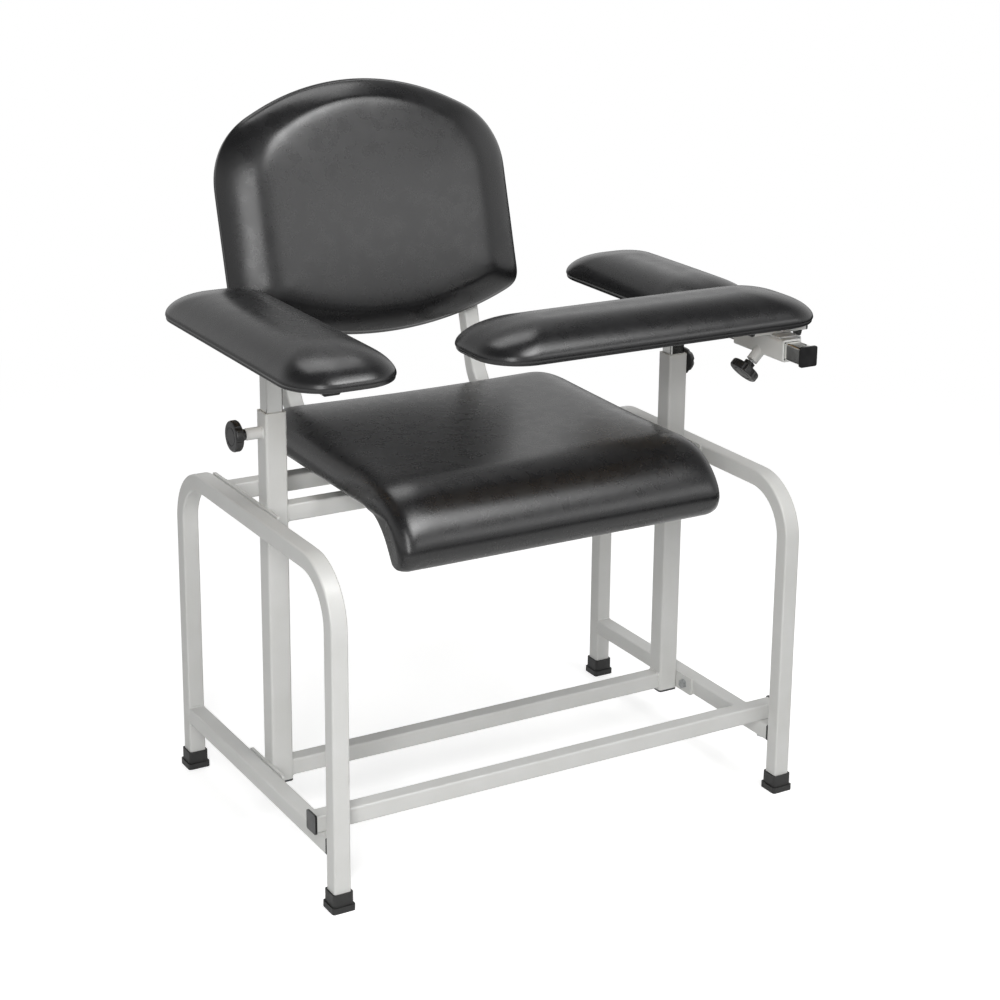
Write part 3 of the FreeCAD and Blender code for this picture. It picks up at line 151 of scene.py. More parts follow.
@dataclass(frozen=True)
class Finish:
    """What every finish of the chair has: its colours, gloss and the grain of its surface.

    The tone wanders softly between two colours, and the surface rises and falls by a fine grain.
    """

    name: str
    colour: str
    second: str
    roughness: float
    grain: float
    relief: float
    patch: float = 60.0
    metallic: float = 0.0
    ior: float = 1.5
    rough_swing: float = 0.06
    stretch: tuple[float, float, float] = (1.0, 1.0, 1.0)

    def height(self, tree: Tree, places: Socket) -> Socket:
        """The surface's fine relief: soft noise whose lumps are one grain across."""
        return add_noise(tree, places, self.grain, 3.0, Roughness=0.55).outputs["Fac"]

    def tone(self, tree: Tree, places: Socket) -> Socket:
        """The colour, which wanders between the two tones over one patch."""
        return self.between(tree, add_noise(tree, places, self.patch, 4.0), 0.35, 0.7)

    def between(self, tree: Tree, noise: Node, low: float, high: float) -> Socket:
        """The two tones mixed by noise.

        Args:
            tree: The node tree.
            noise: The noise.
            low: The noise's level up to which the first tone shows.
            high: The level from which the second shows.

        Returns:
            The mixed colour.
        """
        ramp = add_node(tree, "ValToRGB", {"Fac": noise.outputs["Fac"]})
        stops = zip(ramp.color_ramp.elements, (low, high), (self.colour, self.second))
        for element, position, colour in stops:
            element.position = position
            element.color = linear(colour)
        return ramp.outputs["Color"]

    def gloss(self, tree: Tree, places: Socket) -> Socket:
        """The roughness, which swings a little over half a patch."""
        inputs = {
            "Value": add_noise(tree, places, self.patch / 2, 5.0).outputs["Fac"],
            "From Min": 0.3,
            "From Max": 0.7,
            "To Min": self.roughness - self.rough_swing,
            "To Max": self.roughness + self.rough_swing,
        }
        return add_node(tree, "MapRange", inputs).outputs["Result"]

    def make(self) -> bpy.types.Material:
        """Builds the material. Its even values sit on the shader's own sockets.

        Returns:
            The finished material.
        """
        material = bpy.data.materials.new(self.name)
        material.use_nodes = True
        tree = material.node_tree
        tree.nodes.clear()
        spots = add_node(tree, "TexCoord", {}).outputs["Object"]
        places = add_node(tree, "Mapping", {"Vector": spots, "Scale": self.stretch}).outputs["Vector"]
        relief = {"Height": self.height(tree, places), "Strength": 1.0, "Distance": self.relief * MM}
        inputs = {
            "Base Color": self.tone(tree, places),
            "Roughness": self.gloss(tree, places),
            "Normal": add_node(tree, "Bump", relief).outputs["Normal"],
            "Metallic": self.metallic,
        }
        if not self.metallic:
            inputs["IOR"] = self.ior
        surface = add_node(tree, "BsdfPrincipled", inputs)
        add_node(tree, "OutputMaterial", {"Surface": surface.outputs["BSDF"]})
        return material


@dataclass(frozen=True)
class VinylCover(Finish):
    """Upholstery vinyl: pressed leather grain, fine creases, and a slow waviness where it is stretched."""

    crease: float = 4.0
    crease_relief: float = 0.05
    wave: float = 70.0
    wave_relief: float = 0.06
    pore_share: float = 0.1

    def height(self, tree: Tree, places: Socket) -> Socket:
        """Grain cells with pores in them, on drawn-out creases and on slow waves of the cover.

        Args:
            tree: The node tree.
            places: Where the pattern is read.

        Returns:
            The relief, in units of the grain's.
        """
        bent = add_noise(tree, places, self.grain * 2, 2.0).outputs["Color"]
        inputs = {0: bent, "Scale": self.grain * MM}
        shifted = add_node(tree, "VectorMath", inputs, operation="SCALE").outputs[0]
        spots = add_node(tree, "VectorMath", {0: places, 1: shifted}, operation="ADD").outputs[0]
        inputs = {"Vector": spots, "Scale": 1 / (self.grain * MM)}
        cells = add_node(tree, "TexVoronoi", inputs, feature="SMOOTH_F1").outputs["Distance"]
        fine = add_noise(tree, places, self.grain / 3, 2.0).outputs["Fac"]
        total = add_node(tree, "Math", {0: fine, 1: self.pore_share, 2: cells}, operation="MULTIPLY_ADD")
        slant = {"Vector": places, "Rotation": (0.5, 0.6, 0.7), "Scale": (1.0, 0.35, 1.0)}
        drawn = add_node(tree, "Mapping", slant).outputs["Vector"]
        layers = ((drawn, self.crease, self.crease_relief, 5.0), (places, self.wave, self.wave_relief, 1.0))
        for spot, size, relief, detail in layers:
            noise = add_noise(tree, spot, size, detail).outputs["Fac"]
            inputs = {0: noise, 1: relief / self.relief, 2: total.outputs[0]}
            total = add_node(tree, "Math", inputs, operation="MULTIPLY_ADD")
        return total.outputs[0]


@dataclass(frozen=True)
class Plywood(Finish):
    """Birch plywood: long grain streaks between a pale and a darker tone."""

    streak: float = 4.0
    drawn_out: float = 20.0

    def tone(self, tree: Tree, places: Socket) -> Socket:
        """Streaks that run far longer than wide, back on flat boards and up on the backrest's.

        Args:
            tree: The node tree.
            places: Where the pattern is read.

        Returns:
            The colour.
        """
        scale = (1.0, 1 / self.drawn_out, 1 / self.drawn_out)
        drawn = add_node(tree, "Mapping", {"Vector": places, "Scale": scale})
        streaks = add_noise(tree, drawn.outputs["Vector"], self.streak, 6.0, Distortion=0.6)
        return self.between(tree, streaks, 0.38, 0.64)


# Polyester powder coat, baked on steel tube: an even satin grey with a faint orange peel about 2.5 mm across.
POWDER_COAT = Finish("powder_coated_steel", "#D0D0CD", "#D5D5D3", roughness=0.4, grain=2.5, relief=0.05)
# Chrome plate on drawn tube: near mirror, with draw lines up the tube that only blur it.
CHROME_PLATE = Finish(
    "chrome_plated_tube",
    "#D9D9D6",
    "#E4E4E2",
    roughness=0.14,
    grain=0.8,
    relief=0.004,
    metallic=1.0,
    rough_swing=0.04,
    stretch=(1.0, 1.0, 0.08),
)
# Zinc plate on bolts, screws, studs and pin: a duller, slightly blue metal with a crystalline blush.
ZINC_PLATE = Finish(
    "zinc_plated_steel",
    "#A9ACAE",
    "#C4C6C7",
    roughness=0.34,
    grain=0.7,
    relief=0.02,
    patch=7.0,
    metallic=1.0,
    rough_swing=0.1,
)
# PVC upholstery vinyl, pressed with a leather grain of about 1.4 mm: black with a soft satin gloss.
BLACK_VINYL = VinylCover(
    "grained_vinyl",
    "#161617",
    "#1A1A1B",
    roughness=0.28,
    grain=1.4,
    relief=0.03,
    patch=40.0,
    ior=1.52,
    rough_swing=0.03,
)
# Birch plywood boards under the pads: pale, matt, sawn grain.
BIRCH_PLY = Plywood("birch_plywood", "#B08A5B", "#D2B383", roughness=0.62, grain=0.9, relief=0.06)
# Injection moulded polyamide for knobs, plugs and caps: black with a fine spark-eroded texture.
MOULDED_PLASTIC = Finish(
    "moulded_polyamide", "#131314", "#19191A", roughness=0.36, grain=0.9, relief=0.03, patch=25.0, ior=1.53
)
# Moulded rubber feet and bumper: a softer, matt black.
MOULDED_RUBBER = Finish(
    "moulded_rubber", "#1A1A1A", "#232322", roughness=0.6, grain=1.1, relief=0.05, patch=18.0, ior=1.52
)

FINISHES = {
    Slot.COAT: POWDER_COAT,
    Slot.CHROME: CHROME_PLATE,
    Slot.ZINC: ZINC_PLATE,
    Slot.VINYL: BLACK_VINYL,
    Slot.BOARD: BIRCH_PLY,
    Slot.PLASTIC: MOULDED_PLASTIC,
    Slot.RUBBER: MOULDED_RUBBER,
}


@functools.cache
def material(slot: Slot) -> bpy.types.Material:
    """A slot's material, made once.

    Args:
        slot: The slot.

    Returns:
        The material.
    """
    return FINISHES[slot].make()


def cover(slot: Slot, *names: str) -> None:
    """Gives nodes a slot's material.

    Args:
        slot: The slot whose material they take.
        names: The nodes.
    """
    for name in names:
        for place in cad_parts[name].material_slots:
            place.material = material(slot)


# Meshes


def ease(share: np.ndarray) -> np.ndarray:
    """A smooth step from 0 to 1: s^2 (3 - 2 s)."""
    return share**2 * (3 - 2 * share)


def unit(directions: np.ndarray) -> np.ndarray:
    """Rows of directions, each brought to a length of one."""
    return directions / np.linalg.norm(directions, axis=-1, keepdims=True)


def grid_faces(rows: int, columns: int) -> np.ndarray:
    """Four-sided faces of a grid whose columns close into loops.

    Args:
        rows: How many loops.
        columns: How many points in each loop.

    Returns:
        One row of four point numbers for each face.
    """
    row = np.arange(rows - 1)[:, None]
    column = np.arange(columns)[None, :]
    first = row * columns + column
    second = row * columns + (column + 1) % columns
    return np.stack([first, second, second + columns, first + columns], axis=-1).reshape(-1, 4)


def cap_faces(start: int, count: int) -> np.ndarray:
    """Faces that close a loop by joining each point to its partner from the loop's other end.

    Args:
        start: The number of the loop's first point.
        count: How many points it has, an even number.

    Returns:
        One row of four point numbers for each face.
    """
    near = np.arange(count // 2 - 1)
    far = count - 1 - near
    return start + np.stack([near, near + 1, far - 1, far], axis=-1)


def face_outward(points: np.ndarray, faces: np.ndarray) -> np.ndarray:
    """Turns all faces round if the volume that they enclose comes out negative.

    The volume is the sum over triangles of one sixth of a . (b x c).

    Args:
        points: One row of three for each point.
        faces: One row of four point numbers for each face.

    Returns:
        The faces, all outward.
    """
    corners = points[faces]
    volume = 0.0
    for second in (1, 2):
        cross = np.cross(corners[:, second], corners[:, second + 1])
        volume += float(np.einsum("ij,ij->i", corners[:, 0], cross).sum())
    return faces if volume > 0 else faces[:, ::-1]


def new_mesh(name: str, points: np.ndarray, faces: np.ndarray) -> bpy.types.Mesh:
    """Puts points in millimetres and four-sided faces into a smooth mesh in metres.

    Args:
        name: The mesh's name.
        points: One row of three for each point.
        faces: One row of four point numbers for each face.

    Returns:
        The mesh.
    """
    mesh = bpy.data.meshes.new(name)
    mesh.vertices.add(len(points))
    mesh.vertices.foreach_set("co", (points * MM).astype(np.float32).ravel())
    mesh.loops.add(faces.size)
    mesh.loops.foreach_set("vertex_index", faces.astype(np.int32).ravel())
    mesh.polygons.add(len(faces))
    mesh.polygons.foreach_set("loop_start", np.arange(0, faces.size, 4, dtype=np.int32))
    mesh.polygons.foreach_set("use_smooth", np.ones(len(faces), dtype=bool))
    mesh.update(calc_edges=True)
    mesh.validate()
    return mesh


def add_piece(mesh: bpy.types.Mesh, body: Body, slot: Slot) -> bpy.types.Object:
    """Makes a piece of a mesh, with its body, slot and material.

    Args:
        mesh: The mesh, which already lies in its place.
        body: The body that it rides on.
        slot: The slot that its material comes from.

    Returns:
        The new piece.
    """
    piece = bpy.data.objects.new(mesh.name, mesh)
    bpy.context.scene.collection.objects.link(piece)
    mesh.materials.append(material(slot))
    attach(piece, body.value)
    return piece


def bowed(first: np.ndarray, last: np.ndarray, share: float, count: int) -> np.ndarray:
    """Points along a circular arc that bows to the right of its chord, without its last point.

    With the bow b as a share of the chord, half the arc's angle is p = 2 atan(2b). At a share t of the way,
    the point lies (1 + sin(p(2t - 1)) / sin p) / 2 of the chord along it, and (cos(p(2t - 1)) - cos p) /
    (2 sin p) of the chord to its right.

    Args:
        first: Start points, one row for each arc, across and up.
        last: End points.
        share: The bow as a share of the chord, or 0 for a straight line.
        count: How many points.

    Returns:
        Points in the order arc, point, coordinate.
    """
    share_along = np.arange(count) / count
    chord = (last - first)[:, None, :]
    if share == 0:
        return first[:, None, :] + chord * share_along[None, :, None]
    half = 2 * math.atan(2 * share)
    turn = half * (2 * share_along - 1)
    along = (1 + np.sin(turn) / math.sin(half)) / 2
    aside = (np.cos(turn) - math.cos(half)) / (2 * math.sin(half))
    right = np.stack([chord[..., 1], -chord[..., 0]], axis=-1)
    return first[:, None, :] + chord * along[None, :, None] + right * aside[None, :, None]


def soften(loops: np.ndarray, passes: int, keep: np.ndarray | float = 0.0) -> np.ndarray:
    """Rounds closed loops by moving each point toward the middle of its neighbours, again and again.

    Args:
        loops: Points in the order loop, point, coordinate.
        passes: How many times.
        keep: How much of its first place a point keeps, from 0 to 1.

    Returns:
        The rounded loops.
    """
    smooth = loops
    for _ in range(passes):
        smooth = (np.roll(smooth, 1, axis=1) + smooth * 2 + np.roll(smooth, -1, axis=1)) / 4
    return loops * keep + smooth * (1 - keep)


def even_loop(line: np.ndarray, count: int) -> np.ndarray:
    """A closed outline from its right half, with evenly spaced points that pair up across the middle.

    Args:
        line: The right half from the bottom's middle to the top's middle, across and up.
        count: How many points the whole loop has.

    Returns:
        The loop's points, starting at the right of the bottom's middle.
    """
    steps = np.hypot(*np.diff(line, axis=0).T)
    run = np.concatenate([[0.0], np.cumsum(steps)])
    spots = (np.arange(count // 2) + 0.5) / (count // 2) * run[-1]
    right = np.stack([np.interp(spots, run, line[:, axis]) for axis in (0, 1)], axis=-1)
    left = right[::-1] * np.array([-1.0, 1.0])
    return np.concatenate([right, left])


def even_out(values: np.ndarray, edges: np.ndarray, passes: int) -> np.ndarray:
    """Evens a value out over a mesh: each pass takes it halfway to the mean of its neighbours.

    Args:
        values: One value for each point.
        edges: One row of two point numbers for each edge.
        passes: How many passes.

    Returns:
        The evened values.
    """
    count = len(values)
    first, second = edges[:, 0], edges[:, 1]
    neighbours = np.bincount(first, minlength=count) + np.bincount(second, minlength=count)
    for _ in range(passes):
        total = np.bincount(first, values[second], count) + np.bincount(second, values[first], count)
        values = (values + total / np.maximum(neighbours, 1)) / 2
    return values


def stadium(length: float, width: float, corner: float, count: int) -> np.ndarray:
    """The right half of a rectangle with rounded corners, from its near middle to its far middle.

    Args:
        length: Its size along.
        width: Its size across.
        corner: The corners' radius.
        count: How many points each corner has.

    Returns:
        Points, across and along.
    """
    x, y = width / 2, length / 2
    turn = np.linspace(0, math.pi / 2, count)
    arc = np.stack([np.sin(turn), 1 - np.cos(turn)], axis=-1) * corner
    near = arc + np.array([x - corner, -y])
    far = arc[::-1] * np.array([1.0, -1.0]) + np.array([x - corner, y])
    return np.concatenate([[[0.0, -y]], near, far, [[0.0, y]]])


def read_rows(source: bpy.types.bpy_prop_collection, key: str, width: int, kind: type) -> np.ndarray:
    """Reads one property of a mesh's points or edges.

    Args:
        source: The points or edges.
        key: The property.
        width: How many numbers each has.
        kind: The numbers' type.

    Returns:
        One row for each.
    """
    values = np.empty(len(source) * width, dtype=kind)
    source.foreach_get(key, values)
    return values.reshape(-1, width)


# Pads

CLOTH = {
    "quality": 5,
    "mass": 0.4,
    "tension_stiffness": 60,
    "compression_stiffness": 60,
    "bending_stiffness": 8,
    "use_pressure": True,
    "uniform_pressure_force": 4.0,
    "vertex_group_mass": "held",
}


@dataclass(kw_only=True)
class Padding:
    """What all pads share: how a cover swells over its foam, and how it is fastened."""

    swell_limit: float = 3.0
    start_share: float = 0.8
    free_passes: int = 4
    broad_passes: int = 60
    fold_share: float = 0.06
    frames: int = 20
    fill: float = 0.9
    staple_half: float = 5.0
    wire: float = 0.55
    staple_legs: float = 1.5

    def swell(self, piece: bpy.types.Object, held: np.ndarray, calm: np.ndarray) -> None:
        """Blows the cover up as cloth from a slightly smaller start, and caps how far each point may move.

        A point moves along its normal by c tanh(a / c), with a what the cloth moved it and c the cap. Most of
        what is narrower than a hand is evened out, because foam under the cover lets it fold only a little,
        and near the board the movement fades to nothing.

        Args:
            piece: The pad, before any other modifier.
            held: For each point, True where the board holds it.
            calm: For each point, from 0 to 1, how much it moves with the middle of the pad as one.
        """
        mesh = piece.data
        rest = read_rows(mesh.vertices, "co", 3, np.float32)
        normals = read_rows(mesh.vertex_normals, "vector", 3, np.float32)
        edges = read_rows(mesh.edges, "vertices", 2, np.int32)
        spread = even_out((~held).astype(float), edges, self.free_passes)
        free = np.where(held, 0.0, spread * 2 - 1).clip(0, 1)
        start = rest - normals * free[:, None] * self.swell_limit * self.start_share * MM
        mesh.vertices.foreach_set("co", start.ravel())
        mesh.update()
        moved = self.blow(piece, held)
        outward = np.einsum("ij,ij->i", moved - start, normals)
        limit = self.swell_limit * MM
        shift = limit * np.tanh(outward / limit)
        broad = even_out(shift, edges, self.broad_passes)
        shift = (broad + (shift - broad) * self.fold_share) * free
        if calm.max() > 0:
            shift = shift + (np.average(shift, weights=calm) - shift) * calm
        mesh.vertices.foreach_set("co", (start + normals * shift[:, None]).ravel())
        mesh.update()
        LOG.info("%s swelled by up to %.1f mm", piece.name, float(outward.max()) / MM)

    def blow(self, piece: bpy.types.Object, held: np.ndarray) -> np.ndarray:
        """Runs the cloth under pressure, and takes it off again.

        Args:
            piece: The pad.
            held: For each point, True where the board holds it.

        Returns:
            Where the cloth moved each point.
        """
        group = piece.vertex_groups.new(name=CLOTH["vertex_group_mass"])
        group.add(np.flatnonzero(held).tolist(), 1.0, "REPLACE")
        cloth = piece.modifiers.new("Swell", "CLOTH")
        for name, value in CLOTH.items():
            setattr(cloth.settings, name, value)
        cloth.settings.effector_weights.gravity = 0
        cloth.collision_settings.use_collision = False
        cloth.collision_settings.use_self_collision = False
        cloth.point_cache.frame_start = 1
        cloth.point_cache.frame_end = self.frames
        scene = bpy.context.scene
        for number in range(1, self.frames + 1):
            scene.frame_set(number)
        evaluated = piece.evaluated_get(bpy.context.evaluated_depsgraph_get())
        moved = read_rows(evaluated.data.vertices, "co", 3, np.float32)
        piece.modifiers.remove(cloth)
        piece.vertex_groups.remove(group)
        scene.frame_set(1)
        return moved

    def wrap(
        self, name: str, node: str, body: Body, points: np.ndarray, held: np.ndarray, calm: np.ndarray
    ) -> None:
        """Makes the pad of a grid of points, swells and rounds it, and puts it in its node's place.

        Args:
            name: The pad's name.
            node: The node that it stands for.
            body: The body that it rides on.
            points: The points in the order row, column, coordinate. Each row is a closed loop.
            held: Where the board holds it, for rows and columns or for one of them.
            calm: How much it moves as one with the pad's middle, likewise.
        """
        rows, columns = points.shape[:2]
        flat = points.reshape(-1, 3)
        ends = [cap_faces(0, columns)[:, ::-1], cap_faces((rows - 1) * columns, columns)]
        faces = np.concatenate([grid_faces(rows, columns), *ends])
        piece = add_piece(new_mesh(name, flat, face_outward(flat, faces)), body, Slot.VINYL)
        self.swell(piece, *(np.broadcast_to(values, (rows, columns)).ravel() for values in (held, calm)))
        rounding = piece.modifiers.new("Rounding", "SUBSURF")
        rounding.levels = 1
        rounding.render_levels = 1
        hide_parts(node)

    def staples(self, name: str, line: np.ndarray, up: np.ndarray, body: Body) -> None:
        """Wire staples along the cover's turned edge, each a flat crown with two short legs.

        Args:
            name: The piece's name.
            line: The middle of each staple, in a closed row.
            up: The direction that the board's underside faces.
            body: The body that they ride on.
        """
        ahead = unit(np.roll(line, -1, axis=0) - np.roll(line, 1, axis=0))
        aside = np.cross(ahead, up)
        corners = []
        for along, rise in ((-1, -self.staple_legs), (-1, self.wire), (1, self.wire), (1, -self.staple_legs)):
            for depth in (-1, 1):
                reach = self.staple_half if rise > 0 else self.staple_half - self.wire
                corners.append(line + ahead * along * reach + aside * depth * self.wire + up * rise)
        points = np.stack(corners, axis=1).reshape(-1, 3)
        sides = [[0, 2, 3, 1], [2, 4, 5, 3], [4, 6, 7, 5], [0, 1, 7, 6], [0, 6, 4, 2], [1, 3, 5, 7]]
        faces = (np.arange(len(line))[:, None, None] * 8 + np.array(sides)[None]).reshape(-1, 4)
        add_piece(new_mesh(name, points, face_outward(points, faces)), body, Slot.ZINC)


@dataclass(kw_only=True)
class Profile:
    """A pad's section from inside the board, under its edge, up the side and in over the crown.

    Below its belly the side draws in as tuck (1 - s)^2. Above it the edge is a quarter of a superellipse,
    mixed with a straight slope by the crease's share, and the crown rises smoothly toward the middle.
    """

    width: float
    thick: float
    edge: float = 68.0
    belly: float = 7.0
    tuck: float = 2.6
    crown: float = 0.0
    squareness: float = 1.85
    crease: float = 0.0
    crease_passes: int = 2
    turned_under: float = 26.0
    crown_step: float = 12.0
    crown_reach: float = 0.88
    calm_from: float = 0.5
    calm_over: float = 0.4

    def levels(self) -> tuple[np.ndarray, np.ndarray, np.ndarray]:
        """The section's points. The first six are the turned edge, from its cut end inside the board outward.

        Returns:
            For each level, its inset, its height, and whether the board holds it.
        """
        under, tuck = self.turned_under, self.tuck
        foot_inset = np.array([under + 6, under + 2, under, under * 0.62, tuck + 2, tuck + 0.2])
        foot_height = np.array([VINYL + 3, VINYL + 1.4, -VINYL, -VINYL, -VINYL, VINYL])
        side = np.linspace(0.06, 1, 6)
        side_inset = tuck * (1 - side) ** 2
        side_height = VINYL + (self.belly - VINYL) * side
        turn = np.linspace(0, math.pi / 2, 16)[1:]
        power = 2 / self.squareness
        inward = 1 - np.cos(turn) ** power
        edge_inset = self.edge * inward
        rise = np.sin(turn) ** power * (1 - self.crease) + inward * self.crease
        edge_height = self.belly + (self.thick - self.crown - self.belly) * rise
        half = self.width / 2
        share = np.linspace(0, 1, max(3, int((half - self.edge) / self.crown_step)))[1:]
        crown_inset = self.edge + (half * self.crown_reach - self.edge) * share
        crown_height = self.thick - self.crown + self.crown * ease(share)
        inset = np.concatenate([foot_inset, side_inset, edge_inset, crown_inset])
        height = np.concatenate([foot_height, side_height, edge_height, crown_height])
        first = len(foot_inset) + len(side_inset) + 2
        for _ in range(self.crease_passes):
            for values in (inset, height):
                values[first:-1] = (values[first - 1 : -2] + values[first:-1] * 2 + values[first + 1 :]) / 4
        return inset, height, np.arange(len(inset)) < len(foot_inset)

    def calm(self, inset: np.ndarray) -> np.ndarray:
        """How much each level moves as one with the pad's middle, by a smooth step from half the way in."""
        return ease(np.clip((inset / (self.width / 2) - self.calm_from) / self.calm_over, 0, 1))


@dataclass(kw_only=True)
class BoardPad(Padding):
    """A pad on a flat board, as large as its node: an outline carried up its side and in over its crown."""

    name: str
    node: str
    body: Body
    corner: float = 62.0
    corner_points: int = 24
    end_slope: float = 40.0
    end_bow: float = 1.5
    columns: int = 132
    staple_share: float = 0.66
    staple_pitch: float = 32.0

    def __post_init__(self) -> None:
        """Measures the node that the pad stands for."""
        extent = Extent(self.node)
        across, back, thick = extent.size
        self.along_x = across > back
        self.length, self.width = max(across, back), min(across, back)
        self.centre = np.array([*extent.middle[:2], extent.low[2]])
        self.profile = Profile(width=self.width, thick=thick)

    def outline(self) -> np.ndarray:
        """The pad's closed outline, across and along: its ends bow out by b (1 - (2 x / w)^2)."""
        loop = even_loop(stadium(self.length, self.width, self.corner, self.corner_points), self.columns)
        loop[:, 1] += np.sign(loop[:, 1]) * self.end_bow * (1 - (2 * loop[:, 0] / self.width) ** 2)
        return loop

    def spine(self, outline: np.ndarray) -> np.ndarray:
        """For each outline point, the point that it shrinks toward on the pad's middle line.

        The line stops short of the ends, so that the crown slopes down to them more gently than to the sides.
        """
        reach = (self.length - self.width) / 2 - self.end_slope
        return np.stack([np.zeros(len(outline)), np.clip(outline[:, 1], -reach, reach)], axis=-1)

    def place(self, across: np.ndarray, along: np.ndarray, up: np.ndarray) -> np.ndarray:
        """Turns the pad's own directions to the chair's and moves them to its place."""
        if self.along_x:
            across, along = -along, across
        return np.stack([across, along, up], axis=-1) + self.centre

    def build(self) -> None:
        """Builds the pad and its staples."""
        outline = self.outline()
        spine = self.spine(outline)
        inset, height, held = self.profile.levels()
        share = (inset / (self.width / 2))[:, None, None]
        loops = outline[None] * (1 - share) + spine[None] * share
        points = self.place(loops[..., 0], loops[..., 1], np.broadcast_to(height[:, None], loops.shape[:2]))
        calm = self.profile.calm(inset)
        self.wrap(self.name, self.node, self.body, points, held[:, None], calm[:, None])
        self.fasten(outline, spine)

    def fasten(self, outline: np.ndarray, spine: np.ndarray) -> None:
        """Staples the turned edge at an even pitch.

        Args:
            outline: The pad's outline.
            spine: The points that it shrinks toward.
        """
        share = (self.profile.turned_under * self.staple_share) / (self.width / 2)
        row = outline * (1 - share) + spine * share
        step = np.hypot(*(np.roll(row, -1, axis=0) - row).T)
        run = np.concatenate([[0.0], np.cumsum(step)])
        closed = np.concatenate([row, row[:1]])
        count = int(run[-1] // self.staple_pitch)
        spots = np.arange(count) / count * run[-1]
        across, along = (np.interp(spots, run, closed[:, axis]) for axis in (0, 1))
        line = self.place(across, along, np.full(count, -VINYL))
        self.staples(f"{self.name}_staples", line, np.array([0.0, 0.0, -1.0]), self.body)


@dataclass(kw_only=True)
class SeatPad(Padding):
    """The seat: side-on ribs from its rear edge over a shallow dish and round the nose to its lip."""

    swell_limit: float = 2.5
    fill: float = 0.85
    thick: float = 49.0
    dish: float = 3.0
    edge: float = 28.0
    edge_reach: float = 64.0
    edge_power: float = 2.2
    under_round: float = 11.5
    under_share: float = 0.8
    rear_corner: float = 55.0
    front_corner: float = 26.0
    slope_start: float = 134.0
    slope_drop: float = 7.0
    nose_drop: float = 84.0
    lip_back: float = 26.0
    lip_inside: float = 192.0
    lip_inside_drop: float = 98.0
    heel_middle: float = 158.0
    heel_side: float = 125.0
    heel_from: float = 180.0
    heel_to: float = 245.0
    ribs: int = 72
    rib_crowding: float = 0.92
    held_points: int = 70
    soft_passes: int = 7
    fold_side: float = 14.0
    fold_below: float = 66.0
    fold_depth: float = 0.9
    fold_count: int = 9
    fold_reach: float = 30.0
    fold_inner: float = 12.0

    def __post_init__(self) -> None:
        """Measures the board and the cushion."""
        cushion = Extent("seat_cushion")
        self.half = cushion.size[0] / 2
        self.front = FRAME_MIDDLE - cushion.low[1]
        self.rear = cushion.high[1] - FRAME_MIDDLE
        self.board_under = Extent("seat_board").low[2]
        self.lip_drop = self.thick + self.board_under - cushion.low[2]

    def fall(self, inward: np.ndarray, radius: float) -> np.ndarray:
        """How far a round corner falls back at a distance d from the side: r - sqrt(r^2 - (r - d)^2)."""
        short = np.clip(radius - inward, 0, radius)
        return radius - np.sqrt(radius**2 - short**2)

    def droop(self, inward: np.ndarray) -> np.ndarray:
        """How far the top droops at a distance d from the side: e (1 - (1 - (1 - d / w)^p)^(1 / p))."""
        near = np.clip(1 - inward / self.edge_reach, 0, 1)
        return self.edge * (1 - (1 - near**self.edge_power) ** (1 / self.edge_power))

    def sections(self, across: np.ndarray) -> np.ndarray:
        """Each rib's closed section, back and up.

        It runs from the rear underside up the rear edge, along the top, over the nose and chin to the lip,
        and back under the lip to the board, which the cover leaves farther back at the sides. Each run of it
        has a bow, as a share of its chord, and a count of points.

        Args:
            across: Where the ribs stand.

        Returns:
            Points in the order rib, point, coordinate. The last ones lie on the board.
        """
        inward = self.half - np.abs(across)
        rear_fall = self.fall(inward, self.rear_corner)
        front_fall = self.fall(inward, self.front_corner)
        dish = self.dish * np.clip(1 - (across / self.half) ** 2, 0, 1) ** 2
        top = self.thick - self.droop(inward) - dish
        under = self.fall(inward, self.under_round) * self.under_share - VINYL
        rear = self.rear - rear_fall
        rounding = np.minimum(self.edge, (top - under) * 0.5)

        def pair(y: np.ndarray | float, z: np.ndarray | float) -> np.ndarray:
            """One point on every rib."""
            return np.stack([np.broadcast_to(y, across.shape), np.broadcast_to(z, across.shape)], axis=-1)

        rear_low = pair(rear, under)
        rear_high = pair(rear, top - rounding)
        crest = pair(rear - rounding, top)
        slope = pair(-self.slope_start, top - self.slope_drop)
        nose = pair(-self.front + front_fall, self.thick - self.nose_drop)
        lip = pair(-self.front + self.lip_back, self.thick - self.lip_drop + front_fall * 0.5)
        inner = pair(-self.lip_inside - front_fall * 0.25, self.thick - self.lip_inside_drop)
        blend = ease(np.clip((np.abs(across) - self.heel_from) / (self.heel_to - self.heel_from), 0, 1))
        heel = pair(-self.heel_middle + (self.heel_middle - self.heel_side) * blend, under)
        runs = (
            (rear_low, rear_high, 0, 4),
            (rear_high, crest, 0.207, 8),
            (crest, slope, 0, 44),
            (slope, nose, 0.16, 26),
            (nose, lip, 0.14, 10),
            (lip, inner, 0.2, 10),
            (inner, heel, -0.12, 16),
            (heel, rear_low, 0, 68),
        )
        return np.concatenate([bowed(*run) for run in runs], axis=1)

    def build(self) -> None:
        """Builds the seat from its ribs, which stand closer toward the sides."""
        turn = np.linspace(-math.pi / 2, math.pi / 2, self.ribs)
        spread = np.sign(turn) * (1 - (1 - np.abs(np.sin(turn))) ** self.rib_crowding)
        across = self.half * spread
        loops = self.sections(across)
        columns = loops.shape[1]
        held = np.arange(columns) >= columns - self.held_points
        loops = soften(loops, self.soft_passes, held.astype(float)[None, :, None])
        level = np.broadcast_to(across[:, None, None], (*loops.shape[:2], 1))
        points = np.concatenate([level, loops], axis=-1)
        points = self.wrinkle(points + np.array([0.0, FRAME_MIDDLE, self.board_under]))
        self.wrap("seat_cover", "seat_cushion", Body.FRAME, points, held[None, :], np.zeros((1, 1)))

